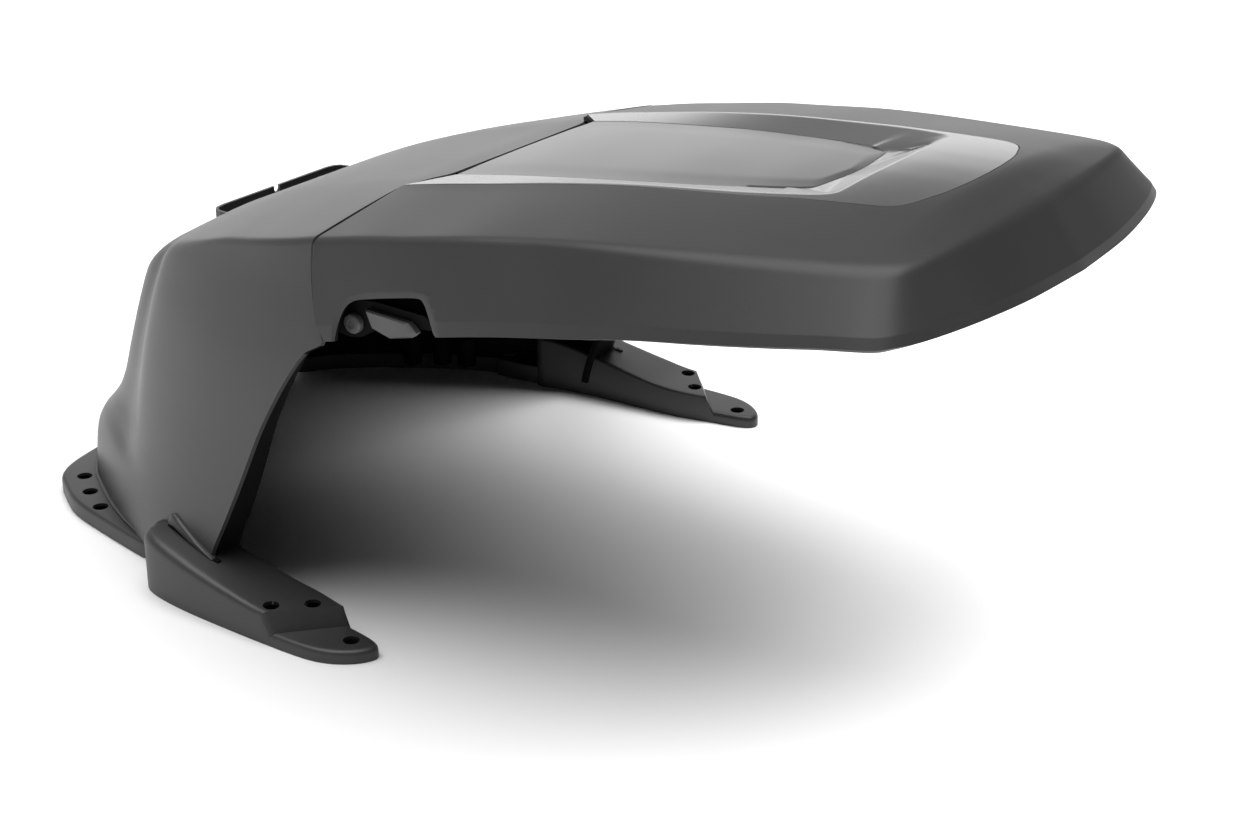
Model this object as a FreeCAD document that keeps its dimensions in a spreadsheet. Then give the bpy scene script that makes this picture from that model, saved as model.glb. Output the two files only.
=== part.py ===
import FreeCAD, Part
import math, os
from FreeCAD import Vector as V

# Mower garage. X across, front towards -Y, Z up, ground at Z = 0, millimetres.
# Sub-parts are drawn with Y = 0 at the outer front foot hole and moved by origin_shift.
os.makedirs("parts", exist_ok=True)
doc = FreeCAD.newDocument("mower_garage")
sheet = doc.addObject("Spreadsheet::Sheet", "dims")
cells = [
    ("origin_shift", 70.0), ("shell_wall", 5.0), ("fan_centre", 100.0), ("lid_top_wall", 7.0), ("lid_side_wall", 5.0),
    ("seam_gap", 3.0), ("hinge_axis_y", -27.5), ("hinge_axis_z", 303.0), ("hinge_pin_dia", 3.0), ("hinge_barrel_dia", 5.6),
    ("hinge_width", 158.0), ("hinge_gap", 0.9), ("tongue_half", 82.0), ("ear_half", 112.0),
    ("foot_hole_dia", 8.5), ("foot_pad_height", 27.0), ("foot_tip_height", 10.0), ("foot_rear_height", 46.0),
    ("flange_height", 14.0), ("flange_under", 3.0), ("flange_skin", 3.5), ("flange_rim", 5.0), ("flange_boss_dia", 20.0), ("skirt_edge", 11.0), ("flange_hole_dia", 9.0),
    ("knob_dia", 15.0), ("knob_y", -41.0), ("knob_z", 234.0), ("knob_face", 216.0), ("arm_thick", 6.0), ("arm_face", 211.0),
    ("trim_depth", 3.0), ("cowl_wall", 2.5), ("notch_dia", 7.0), ("edge_inner", 224.0), ("edge_thick", 6.0), ("boss_dia", 18.0), ("boss_bottom", 9.0),
]
for row, (name, value) in enumerate(cells, 1):
    sheet.set("A%d" % row, name)
    sheet.set("B%d" % row, str(value))
    sheet.setAlias("B%d" % row, name)
doc.recompute()
D = {name: float(sheet.get(name)) for name, value in cells}
parts = []


def place(obj):
    obj.Placement = FreeCAD.Placement(V(0, D["origin_shift"], 0), FreeCAD.Rotation())
    obj.setExpression("Placement.Base.y", "dims.origin_shift")


def free(label, shape):
    obj = doc.addObject("Part::Feature", label)
    obj.Label = label
    if shape.ShapeType == "Compound" and len(shape.Solids) == 1:
        shape = shape.Solids[0]
    obj.Shape = shape
    place(obj)
    parts.append(obj)
    return obj


def spline(points):
    curve = Part.BSplineCurve()
    curve.interpolate([V(*p) for p in points])
    return curve.toShape()


def prism_yz(points, x_low, x_high):
    face = Part.Face(Part.makePolygon([V(x_low, y, z) for y, z in points] + [V(x_low, points[0][0], points[0][1])]))
    return face.extrude(V(x_high - x_low, 0, 0))


def prism_xy(points, z_low, z_high):
    face = Part.Face(Part.makePolygon([V(x, y, z_low) for x, y in points] + [V(points[0][0], points[0][1], z_low)]))
    return face.extrude(V(0, 0, z_high - z_low))


def mirrored(points):
    return points + [(-x, y) for x, y in reversed(points) if x != 0]


# ---------------------------------------------------------------- shell
# Plan curves of the shell at each height: control points of a cubic B-spline from the front to the
# middle of the back, mirrored in X. The roof is a height surface over X and Y.
LEVELS = [0, 15, 35, 50, 60, 74, 88, 104, 130, 160, 195, 225, 255, 290]
# plan control points (x, y) at each level, from the front to the middle of the back
PLAN = {
    0: [(262.5, -60), (262.3, -10), (261, 40), (256.5, 92), (246, 140), (230, 182), (208, 228), (183, 268), (157.5, 306), (129, 333), (84, 343.5), (40, 345), (0, 345)],
    15: [(262, -60), (261.8, -10), (260.5, 40), (256, 92), (245.5, 140), (229.5, 182), (207.5, 228), (182.5, 267.5), (156.5, 305), (128, 331.5), (84, 341.5), (40, 343.2), (0, 343.2)],
    35: [(261, -60), (260.8, -10), (259.5, 40), (254.8, 92), (244.5, 140), (228.5, 182), (206.5, 227.5), (181.5, 266.5), (156, 303), (127.5, 329), (84, 338.5), (40, 340.5), (0, 340.5)],
    50: [(259.5, -60), (259.3, -10), (258, 40), (253.2, 92), (243, 140), (227, 182), (205, 227), (180.5, 265), (156, 299.5), (128, 325), (84, 334.5), (40, 337), (0, 337)],
    60: [(258.5, -60), (258.3, -10), (256.8, 40), (251.8, 92), (241.5, 140), (225.5, 181), (203, 224), (179.5, 261), (155.5, 294), (129, 318.5), (84, 328), (40, 331), (0, 331)],
    74: [(257, -60), (256.8, -10), (255, 40), (249.8, 92), (239, 140), (221.5, 184), (196.5, 216), (175, 251), (156.5, 281), (131.5, 303.5), (85, 312.5), (40, 315), (0, 315)],
    88: [(255.5, -60), (255.2, -10), (253, 40), (247.5, 92), (236, 140), (215, 190), (189, 216.5), (172, 241.5), (157, 269), (132.5, 291.5), (85, 300), (40, 302.5), (0, 302.5)],
    104: [(253.5, -60), (253, -10), (250.5, 40), (244.5, 92), (232, 141), (210.5, 192), (185.5, 214.5), (170.5, 236), (157.5, 260.5), (133.5, 282), (85, 289.5), (40, 291.5), (0, 291.5)],
    130: [(249.5, -60), (249, -10), (246, 40), (239, 92), (225.5, 142), (204, 193), (181, 212), (168.5, 229.5), (157.5, 251.5), (134, 272), (85, 278.5), (40, 280), (0, 280)],
    160: [(244.5, -60), (243.8, -10), (240.5, 40), (232.5, 92), (217.5, 143), (195.5, 193.5), (176, 208), (165.5, 222), (157, 241.5), (134.5, 260), (85, 266), (40, 267.5), (0, 267.5)],
    195: [(237.5, -60), (236.5, -10), (232.5, 40), (223, 92), (206.5, 143), (183.5, 193), (167.5, 203), (160.5, 212.5), (154.5, 228.5), (135, 246.5), (85, 252), (40, 253.5), (0, 253.5)],
    225: [(229.5, -60), (228, -10), (223.5, 40), (211.5, 92), (193, 143), (170, 190), (159, 196), (154.5, 202), (150.5, 214.5), (134, 231), (85, 236), (40, 237.5), (0, 237.5)],
    255: [(221, -60), (219, -10), (213.5, 40), (197.5, 92), (177, 141), (153, 183), (145, 189), (142, 193), (138.5, 203), (125, 214), (85, 219), (40, 220), (0, 220)],
    290: [(212.5, -60), (210, -10), (203, 40), (181, 92), (158, 137), (136, 168), (128, 176), (125, 184), (122.5, 192), (111, 200), (80, 204), (40, 205), (0, 205)],
}


def hermite(keys, values, key):
    """Smooth interpolation through the values, without overshoot between them."""
    n = len(keys)
    if key <= keys[0]:
        return values[0]
    if key >= keys[-1]:
        return values[-1]
    i = 0
    while key > keys[i + 1]:
        i += 1

    def slope(k):
        if k == 0:
            return (values[1] - values[0]) / (keys[1] - keys[0])
        if k == n - 1:
            return (values[-1] - values[-2]) / (keys[-1] - keys[-2])
        a = (values[k] - values[k - 1]) / (keys[k] - keys[k - 1])
        b = (values[k + 1] - values[k]) / (keys[k + 1] - keys[k])
        if a * b <= 0:
            return 0.0
        h0, h1 = keys[k] - keys[k - 1], keys[k + 1] - keys[k]
        w0, w1 = 2 * h1 + h0, h1 + 2 * h0
        return (w0 + w1) / (w0 / a + w1 / b)

    h = keys[i + 1] - keys[i]
    t = (key - keys[i]) / h
    m0, m1 = slope(i) * h, slope(i + 1) * h
    t2, t3 = t * t, t * t * t
    return (2 * t3 - 3 * t2 + 1) * values[i] + (t3 - 2 * t2 + t) * m0 + (-2 * t3 + 3 * t2) * values[i + 1] + (t3 - t2) * m1


def plan_at(z):
    return [(hermite(LEVELS, [PLAN[k][i][0] for k in LEVELS], z), hermite(LEVELS, [PLAN[k][i][1] for k in LEVELS], z)) for i in range(len(PLAN[0]))]


def bspline(points, u):
    """Cubic B-spline on the control points, mirrored in x at the last one, u from 0 to 1."""
    pts = [(2 * points[0][0] - points[1][0], 2 * points[0][1] - points[1][1])] + list(points) + [(-points[-2][0], points[-2][1])]
    n = len(points) - 1
    s = min(max(u, 0.0), 1.0) * n
    i = min(int(s), n - 1)
    t = s - i
    b = ((1 - t) ** 3 / 6, (3 * t ** 3 - 6 * t * t + 4) / 6, (-3 * t ** 3 + 3 * t * t + 3 * t + 1) / 6, t ** 3 / 6)
    return (sum(b[k] * pts[i + k][0] for k in range(4)), sum(b[k] * pts[i + k][1] for k in range(4)))


MID = [(-60, 311.5), (-29, 306.0), (-4, 301.2), (20, 295.3), (50, 287.8), (80, 279.8), (110, 271.5), (142, 261.2), (172, 249.3), (200, 236.5), (222, 223.5), (232, 216.5), (260, 196), (345, 130)]
DROP = [(-60, 14), (-4, 14.0), (74, 14.4), (103, 13.6), (142, 12.6), (172, 11.2), (200, 9.0), (222, 7.0), (345, 6)]
HALF = [(-60, 214), (-4, 210), (74, 202), (103, 194), (142, 176), (172, 167), (200, 160), (222, 151), (345, 140)]


def roof(x, y):
    s = abs(x) / hermite([k for k, v in HALF], [v for k, v in HALF], y)
    g = max(0.0, (s - 0.42) / 0.58) ** 1.35
    return hermite([k for k, v in MID], [v for k, v in MID], y) - hermite([k for k, v in DROP], [v for k, v in DROP], y) * g


TOP_PLAN = [(197, -60), (194, -10), (186, 40), (167, 90), (145, 130), (123, 158), (116, 165), (113, 172), (109, 180), (100, 188), (74, 191), (38, 192), (0, 192)]
HEIGHTS = [0, 15, 32, 46, 56, 66, 77, 90, 106, 124, 144, 165, 188, 210, 232, 254, 275, 292, 334]


def plan_wire(z, inset, at=None):
    ctrl = plan_at(z) if z < 300 else TOP_PLAN
    pts = [bspline(ctrl, k / 30.0) for k in range(31)]
    if inset:
        moved = []
        for k, (x, y) in enumerate(pts):
            xa, ya = pts[max(k - 1, 0)]
            xb, yb = pts[k + 1] if k < 30 else (-pts[29][0], pts[29][1])
            tx, ty = xb - xa, yb - ya
            n = math.hypot(tx, ty)
            moved.append((x - ty / n * inset, y + tx / n * inset))
        moved[-1] = (0.0, moved[-1][1])
        pts = moved
    zz = z if at is None else at
    line = [(x, y, zz) for x, y in pts] + [(-x, y, zz) for x, y in reversed(pts[:-1])]
    return Part.Wire([spline(line), Part.makeLine(V(*line[-1]), V(*line[0]))])


made = {}


def plan_solid(inset, low=None):
    if (inset, low) in made:
        return made[(inset, low)]
    wires = [plan_wire(z, inset) for z in HEIGHTS]
    if low is not None:
        wires[0] = plan_wire(0, inset, low)
    made[(inset, low)] = Part.makeLoft(wires, True, False)
    return made[(inset, low)]


def under_roof(drop):
    rows = []
    for y in (-62, -40, -24, -8, 10, 30, 52, 76, 100, 124, 146, 166, 186, 204, 222, 240, 262, 300, 350):
        rows.append([V(x, y, roof(x, y) - drop) for x in (-275, -240, -205, -175, -145, -115, -85, -50, 0, 50, 85, 115, 145, 175, 205, 240, 275)])
    surface = Part.BSplineSurface()
    surface.interpolate(rows)
    return surface.toShape().extrude(V(0, 0, -420))


gap = D["seam_gap"]
LEG = [(82, -8), (80, 10), (72, 40), (60, 66), (48, 93), (38, 118), (29, 141), (16, 168), (0, 196), (-11, 211), (-26, 221)]
SEAM = [(-26, 221), (-17, 233), (-11, 247), (-5, 268), (-3, 284)]
TOP_Y = -1.0
hy, hz = D["hinge_axis_y"], D["hinge_axis_z"]
slot = D["hinge_barrel_dia"] / 2 + D["hinge_gap"]
th, eh = D["tongue_half"], D["ear_half"]

outer = plan_solid(0.0).common(under_roof(0.0))
inner = plan_solid(D["shell_wall"], -12.0).common(under_roof(D["shell_wall"]))
front = prism_yz([(-400, -8)] + LEG + SEAM[1:] + [(-3, 285), (-400, 285)], -400, 400)
tongue = [(-400, -400), (400, -400), (400, TOP_Y), (eh, TOP_Y), (th, hy + slot), (-th, hy + slot), (-eh, TOP_Y), (-400, TOP_Y)]
front_top = prism_xy(tongue, 284.9, 360)
shell = outer.cut(inner).cut(front).cut(front_top)
# the skirt stops above the ground beside the wing plates, the back reaches it
for sign in (-1, 1):
    shell = shell.cut(Part.makeBox(300, 195, D["skirt_edge"] + 10, V(127 if sign > 0 else -427, 150, -10)))
# three round bosses moulded inside each side wall
bosses = None
for x, y in ((181, 247), (197, 224), (206, 202)):
    for sign in (-1, 1):
        b = Part.makeCylinder(D["boss_dia"] / 2, 34, V(sign * x, y, D["boss_bottom"]))
        bosses = b if bosses is None else bosses.fuse(b)
shell = shell.fuse(bosses.common(plan_solid(1.5)))
solids = sorted(shell.Solids, key=lambda q: -q.Volume)
print("shell solids", [round(q.Volume) for q in solids])
shell = solids[0]
free("rear_shell", shell)

# return band along the front edge of each leg
ew, et = D["edge_inner"], D["edge_thick"]
core = plan_solid(D["shell_wall"] + 0.05, -12.0)
leg_low = [(y, z) for y, z in LEG if 12 < z < 205]
band_yz = leg_low + [(y + et, z + et * 0.6) for y, z in reversed(leg_low)]
for name, sign in (("leg_edge_left", -1), ("leg_edge_right", 1)):
    band = core.common(prism_yz(band_yz, ew, 300) if sign > 0 else prism_yz(band_yz, -300, -ew))
    solids = sorted(band.Solids, key=lambda q: -q.Volume)
    print(name, [round(q.Volume) for q in solids])
    free(name, solids[0])

# ---------------------------------------------------------------- lid
RIDGE = [(212, 30, 281), (210, -4, 287), (209, -42, 295), (208, -82, 302), (204.5, -132, 311), (199, -178, 317.5), (196, -230, 324), (191, -282, 328.5), (184, -330, 332), (177, -374, 335.5), (170, -410, 338), (165.5, -424, 338.2), (158, -434, 338.5), (146, -440, 339), (128, -443.5, 340), (99, -448, 341.5), (50, -454, 343), (0, -457, 344)]
SKIRT = [(234, 30, 212), (232, -4, 218), (231.5, -42, 226), (231, -82, 237), (230, -132, 249), (228.5, -178, 259), (227, -230, 269), (224.5, -282, 279), (220, -330, 286), (214.5, -374, 292.5), (208, -412, 298), (205, -430, 300), (199, -444, 301), (188, -453, 302), (170, -461, 302), (120, -473, 302), (62, -481.5, 302), (0, -485, 302)]


def lid_ring(height, inset):
    right = []
    for (xa, ya, za), (xb, yb, zb) in zip(RIDGE, SKIRT):
        k = (height - zb) / (za - zb)
        x, y = xb + (xa - xb) * k, yb + (ya - yb) * k
        right.append((max(x - inset, 0.0) if x else 0.0, y + (inset if y < -400 else 0.0)))
    pts = [(x, y, height) for x, y in right] + [(-x, y, height) for x, y in reversed(right[:-1])]
    return Part.Wire([spline(pts), Part.makeLine(V(*pts[-1]), V(*pts[0]))])


def lid_block(inset):
    return Part.makeLoft([lid_ring(205.0, inset), lid_ring(360.0, inset)], True, True)


TOP_Y_ROWS = [40, 0, -30, -80, -140, -200, -260, -320, -380, -412, -440, -470, -500]
MIDDLE = [295, 302, 308, 319, 330.5, 339.5, 346, 351, 354.5, 355, 349, 341, 333]
RIM = [291, 301.2, 308, 317, 327, 334.8, 340.2, 345, 348, 348.5, 344.5, 338, 331]
EDGE = [279, 287.6, 293, 302, 312.3, 320.8, 326.6, 331, 335.5, 337, 337, 331, 325]


def top_surface(drop):
    rows = []
    for y, a, b, c in zip(TOP_Y_ROWS, MIDDLE, RIM, EDGE):
        out = c - (b - c) * 0.9
        line = [(0, a), (50, a - (a - b) * 0.28), (100, b), (150, b - (b - c) * 0.5), (200, c), (290, out)]
        rows.append([V(-x, y, z - drop) for x, z in reversed(line[1:])] + [V(x, y, z - drop) for x, z in line])
    surface = Part.BSplineSurface()
    surface.interpolate(rows)
    return surface.toShape()


def under_top(drop):
    return top_surface(drop).extrude(V(0, 0, -260))


lid = lid_block(0.0).common(under_top(0.0))
BOTTOM = [(60, 200), (-26, 221), (-37, 223.5), (-133, 249), (-200, 263), (-274, 277.5), (-371, 292), (-427, 300), (-460, 302), (-520, 302)]
below = prism_yz(BOTTOM + [(-520, 100), (60, 100)], -300, 300)
lid = lid.cut(below)
side_rear = prism_yz([(-60, 100), (-26 - gap, 221 - 4)] + [(y - gap, z) for y, z in SEAM[0:]] + [(-3 - gap, 285), (200, 285), (200, 100)], -300, 300)
lid = lid.cut(side_rear)
lid_rear = [(-400, 400), (400, 400), (400, TOP_Y - gap), (eh + 1.5, TOP_Y - gap), (th + 3.0, hy - slot), (-th - 3.0, hy - slot), (-eh - 1.5, TOP_Y - gap), (-400, TOP_Y - gap)]
lid = lid.cut(prism_xy(lid_rear, 284.9, 380))
hollow = lid_block(D["lid_side_wall"]).common(under_top(D["lid_top_wall"]))
hollow = hollow.cut(prism_yz([(-560, 100), (-560, 400), (-470, 400), (-470, 100)], -300, 300))
# arched cut-out in each side skirt
ARCH = [(-36, 200), (-37, 224), (-39, 241), (-42, 249), (-50, 255), (-62, 259), (-105, 269), (-112, 269), (-117, 264), (-125, 254), (-130, 247), (-138, 200)]
for low, high in ((-300, -190), (190, 300)):
    lid = lid.cut(prism_yz(ARCH, low, high))
# recess floor and the U-shaped trim round it
FLOOR_PLAN = [(0, -330), (46, -326), (54, -303), (64, -276), (71, -233), (77, -185), (81, -122), (84, -70), (85, -31), (85, 20)]
TRIM_OUT = [(0, -413), (46, -409), (66, -401), (80, -394), (87, -384), (90.5, -368), (93, -345), (96, -311), (102, -278), (106, -205), (110, -143), (113.5, -77), (114, -30), (114, 20)]
floor_prism = prism_xy(mirrored(FLOOR_PLAN), 280, 400)
trim_prism = prism_xy(mirrored(TRIM_OUT), 280, 400)
floor_rows_y = [40, -31, -70, -122, -185, -233, -276, -308, -340]
floor_rows_z = [292, 306.6, 313, 320, 327.4, 332, 336, 338.4, 341]
fs = Part.BSplineSurface()
fs.interpolate([[V(-120, y, z), V(0, y, z + 1.0), V(120, y, z)] for y, z in zip(floor_rows_y, floor_rows_z)])
above_floor = fs.toShape().extrude(V(0, 0, 80))
FLOOR_WIDE = [(0, -344), (56, -338), (66, -310), (73, -279), (80, -236), (86, -188), (90, -124), (93, -70), (94, -31), (94, 60)]
wide_prism = prism_xy(mirrored(FLOOR_WIDE), 200, 400)
hollow = hollow.cut(wide_prism.common(above_floor.translated(V(0, 0, -D["lid_top_wall"] + 1.0))))
lid = lid.cut(hollow)
lid = lid.cut(floor_prism.common(above_floor))
trim_zone = trim_prism.cut(floor_prism).cut(under_top(D["trim_depth"])).common(prism_xy([(-300, -6), (300, -6), (300, -600), (-300, -600)], 250, 400))
trim = lid.common(trim_zone)
lid = lid.cut(trim_zone)
free("lid_shell", lid)
free("lid_trim_frame", trim)

# ---------------------------------------------------------------- hinge on the straight seam
w = D["hinge_width"]
pin = doc.addObject("Part::Cylinder", "hinge_pin")
pin.Label = "hinge_pin"
pin.Radius, pin.Height = D["hinge_pin_dia"] / 2, w
pin.setExpression("Radius", "dims.hinge_pin_dia / 2")
pin.setExpression("Height", "dims.hinge_width")
pin.Placement = FreeCAD.Placement(V(-w / 2, hy + D["origin_shift"], hz), FreeCAD.Rotation(V(0, 1, 0), 90))
parts.append(pin)


def barrel(x_low, x_high):
    body = Part.makeCylinder(D["hinge_barrel_dia"] / 2, x_high - x_low, V(x_low, hy, hz), V(1, 0, 0))
    return body


edges_x = [-79 + i * 158.0 / 5 for i in range(6)]
shell_spans = [(edges_x[i] + 0.4, edges_x[i + 1] - 0.4) for i in (0, 2, 4)]
lid_spans = [(edges_x[i] + 0.4, edges_x[i + 1] - 0.4) for i in (1, 3)]
doc.recompute()
lid_here = doc.getObject("lid_shell").Shape.translated(V(0, -D["origin_shift"], 0))
shell_here = doc.getObject("rear_shell").Shape.translated(V(0, -D["origin_shift"], 0))
br = D["hinge_barrel_dia"] / 2
for label, spans, toward in (("hinge_shell_leaf", shell_spans, 1), ("hinge_lid_leaf", lid_spans, -1)):
    # knuckles hang on webs in the seam gap and join one plate under the skin
    if toward > 0:
        web = [(hy + 0.4, hz), (hy + br, hz), (hy + br, 294.2), (hy + 0.4, 294.2)]
        plate_pts = [(hy + 0.4, 299.4 - 3.4), (hy + 32, 299.4 - 3.4 - 7.6), (hy + 32, 299.4 - 5.4 - 7.6), (hy + 0.4, 299.4 - 5.4)]
    else:
        web = [(hy - 0.4, hz), (hy - br, hz), (hy - br, 292.0), (hy - 0.4, 292.0)]
        plate_pts = [(hy - 0.4, 293.8), (hy - 28, 300.0), (hy - 28, 298.0), (hy - 0.4, 291.8)]
    shape = prism_yz(plate_pts, -79, 79)
    for x0, x1 in spans:
        shape = shape.fuse(barrel(x0, x1)).fuse(prism_yz(web, x0, x1))
    shape = shape.cut(Part.makeCylinder(D["hinge_pin_dia"] / 2 + 0.05, 400, V(-200, hy, hz), V(1, 0, 0)))
    shape = shape.cut(shell_here if toward > 0 else lid_here)
    solids = sorted(shape.Solids, key=lambda q: -q.Volume)
    print(label, "solids", len(solids), [round(q.Volume) for q in solids])
    free(label, solids[0])

# ---------------------------------------------------------------- latch
ky, kz = D["knob_y"], D["knob_z"]
for name, sign in (("left", -1), ("right", 1)):
    arm_pts = [(12, 226), (12, 246), (-30, 250), (-60, 253), (-104, 252), (-112, 246), (-112, 243), (-70, 238), (-46, 224), (-36, 222)]
    xa = D["arm_face"] - D["arm_thick"]
    low, high = (xa, D["arm_face"]) if sign > 0 else (-D["arm_face"], -xa)
    arm = prism_yz(arm_pts, low, high)
    free("latch_arm_" + name, arm)
    knob = doc.addObject("Part::Cylinder", "latch_knob_" + name)
    knob.Label = "latch_knob_" + name
    knob.setExpression("Radius", "dims.knob_dia / 2")
    knob.setExpression("Height", "dims.knob_face - dims.arm_face")
    rot = FreeCAD.Rotation(V(0, 1, 0), 90 * sign)
    knob.Placement = FreeCAD.Placement(V(sign * D["arm_face"], ky + D["origin_shift"], kz), rot)
    parts.append(knob)
    wedge_pts = [(-55, 248), (-72, 247), (-93, 246), (-100, 240), (-96, 236), (-76, 231), (-60, 235), (-58, 240)]
    low, high = (D["arm_face"], D["knob_face"] + 1) if sign > 0 else (-D["knob_face"] - 1, -D["arm_face"])
    free("latch_wedge_" + name, prism_yz(wedge_pts, low, high))

# ---------------------------------------------------------------- feet
FOOT = [(269, 127), (277, 100), (280.5, 61), (282.5, -9), (282, -45), (277, -62), (266, -76), (254, -83), (246, -82), (240, -74), (234, -42), (229, -8), (229, 68), (223, 108), (214, 175), (222, 176), (240, 150)]
FOOT_TOP = [(190, 17), (139, 17), (136, 43), (121, 46), (95, 42), (68, 36.5), (33, 30), (3, 25.6), (-40, 23.8), (-120, 23.8), (-120, -20), (190, -20)]
# the step towards the tip runs askew across the foot
STEP = [(300, 16), (200, -73.4), (200, -200), (300, -200)]
STEP_LOW = [(300, 7.5), (200, -82), (200, -200), (300, -200)]
HOLES = [(270, 0), (249, -21), (255, -62)]
ramp = Part.makeLoft([Part.Wire(Part.makePolygon([V(x, y, z) for x, y in q] + [V(q[0][0], q[0][1], z)])) for q, z in ((STEP_LOW, 10.0), (STEP, 25.5), (STEP, 80.0))], True, True)
foot_body = prism_xy(FOOT, 0, 80).common(prism_yz(FOOT_TOP, 180, 320)).cut(ramp)
clear = plan_solid(-0.05).common(Part.makeBox(800, 900, 60, V(-400, -400, -10)))
clear = clear.cut(core).cut(prism_yz([(-400, -30)] + [(y - 0.6, z) for y, z in LEG] + [(-400, 221)], -400, 400))
for (x, y), top in zip(HOLES, (25.5, 24.4, 10.0)):
    foot_body = foot_body.cut(Part.makeCylinder(D["foot_hole_dia"] / 2, 100, V(x, y, -5)))
    foot_body = foot_body.cut(Part.makeCone(D["foot_hole_dia"] / 2, D["foot_hole_dia"] / 2 + 2.4, 2.4, V(x, y, top - 2.0)))
for name, sign in (("left", -1), ("right", 1)):
    body = foot_body if sign > 0 else foot_body.mirror(V(0, 0, 0), V(1, 0, 0))
    body = body.cut(clear)
    solids = sorted(body.Solids, key=lambda q: -q.Volume)
    print("foot", name, [round(q.Volume) for q in solids])
    free("front_foot_" + name, solids[0])

# raised rib on the leg skin just above the foot
rib_zone = plan_solid(-5.0).cut(plan_solid(-0.05))
rib_line = [(121, 49.5), (116, 60.5), (110, 62), (87, 52.5), (63, 45), (60, 40), (70, 39.5), (96, 43.5)]
for name, sign in (("left", -1), ("right", 1)):
    body = rib_zone.common(prism_yz(rib_line, 200, 320) if sign > 0 else prism_yz(rib_line, -320, -200))
    solids = sorted(body.Solids, key=lambda q: -q.Volume)
    free("leg_rib_" + name, solids[0])

# thin raised lip along the crest of the roof: an upright rim whose ends turn forward, with a small notch in the middle
cw = D["cowl_wall"]
lip_out = [(0, 233), (62, 233), (70, 231.5), (75, 227), (76.5, 221), (76.5, 206)]
lip_in = [(76.5 - cw, 206), (76.5 - cw, 220.5), (73, 225.5), (69, 229), (61.5, 233 - cw), (0, 233 - cw)]
lip = lip_out + lip_in
lip = lip[:-1] + [(0, 233 - cw)] + [(-x, y) for x, y in reversed(lip_in[:-1])] + [(-x, y) for x, y in reversed(lip_out) if x]
lip_body = prism_xy(lip, 190, 228.5).cut(plan_solid(-0.05).common(under_roof(-0.05)))
lip_body = lip_body.cut(prism_yz([(226, 228.4), (205, 229.0), (200, 232), (240, 240), (226, 229)], -100, 100))
lip_body = lip_body.cut(Part.makeCylinder(D["notch_dia"] / 2, 30, V(0, 218, 226.5), V(0, 1, 0)))
solids = sorted(lip_body.Solids, key=lambda q: -q.Volume)
print("lip", [round(q.Volume) for q in solids])
free("rear_cowl", solids[0])

# ---------------------------------------------------------------- rear wing plates
FLANGE = [(110, 336), (134, 334), (172, 326), (192, 314), (196, 304), (212, 276), (221, 240), (228, 208), (236, 168), (236, 150), (200, 150), (150, 250)]
WING_HOLES = [(177, 296), (195, 270), (210, 242)]
shell_clear = plan_solid(-0.05).common(Part.makeBox(800, 900, 60, V(-400, -400, -10)))
def inset_plan(points, distance):
    wire = Part.Wire(Part.makePolygon([V(x, y, 0) for x, y in points] + [V(points[0][0], points[0][1], 0)]))
    ring = wire.makeOffset2D(-distance)
    return Part.Face(ring)


zf = D["flange_height"]
wing = prism_xy(FLANGE, D["flange_under"], zf)
wing = wing.cut(inset_plan(FLANGE, D["flange_rim"]).extrude(V(0, 0, zf - D["flange_skin"])))
for x, y in WING_HOLES:
    wing = wing.fuse(Part.makeCylinder(D["flange_boss_dia"] / 2, zf, V(x, y, 0)).common(prism_xy(FLANGE, 0, zf)))
for x, y in WING_HOLES:
    wing = wing.cut(Part.makeCylinder(D["flange_hole_dia"] / 2, 60, V(x, y, -5)))
    wing = wing.cut(Part.makeCone(D["flange_hole_dia"] / 2, D["flange_hole_dia"] / 2 + 2.2, 2.2, V(x, y, zf - 2.2)))
for name, sign in (("left", -1), ("right", 1)):
    body = wing if sign > 0 else wing.mirror(V(0, 0, 0), V(1, 0, 0))
    body = body.cut(shell_clear)
    foot = doc.getObject("front_foot_" + name).Shape.translated(V(0, -D["origin_shift"], 0))
    body = body.cut(foot)
    solids = sorted(body.Solids, key=lambda q: -q.Volume)
    print("wing", name, [round(q.Volume) for q in solids])
    free("rear_flange_" + name, solids[0])

# ---------------------------------------------------------------- check and write
doc.recompute()
bad = [o.Name for o in doc.Objects if "Invalid" in o.State or "Error" in o.State]
for o in parts:
    sh = o.Shape
    if sh.isNull() or not sh.isValid():
        bad.append(o.Label + " shape")
    bb = sh.BoundBox
    print("%-20s solids %d vol %.0f box %.1f %.1f %.1f  %.1f %.1f %.1f valid %s" % (o.Label, len(sh.Solids), sh.Volume, bb.XMin, bb.YMin, bb.ZMin, bb.XMax, bb.YMax, bb.ZMax, sh.isValid()))
if bad:
    raise SystemExit("failed: %s" % bad)
for o in parts:
    o.Shape.exportStep("parts/%s.step" % o.Label)
print("wrote", len(parts))
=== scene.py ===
import bpy, bmesh, math
from mathutils import Vector, Matrix


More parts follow.
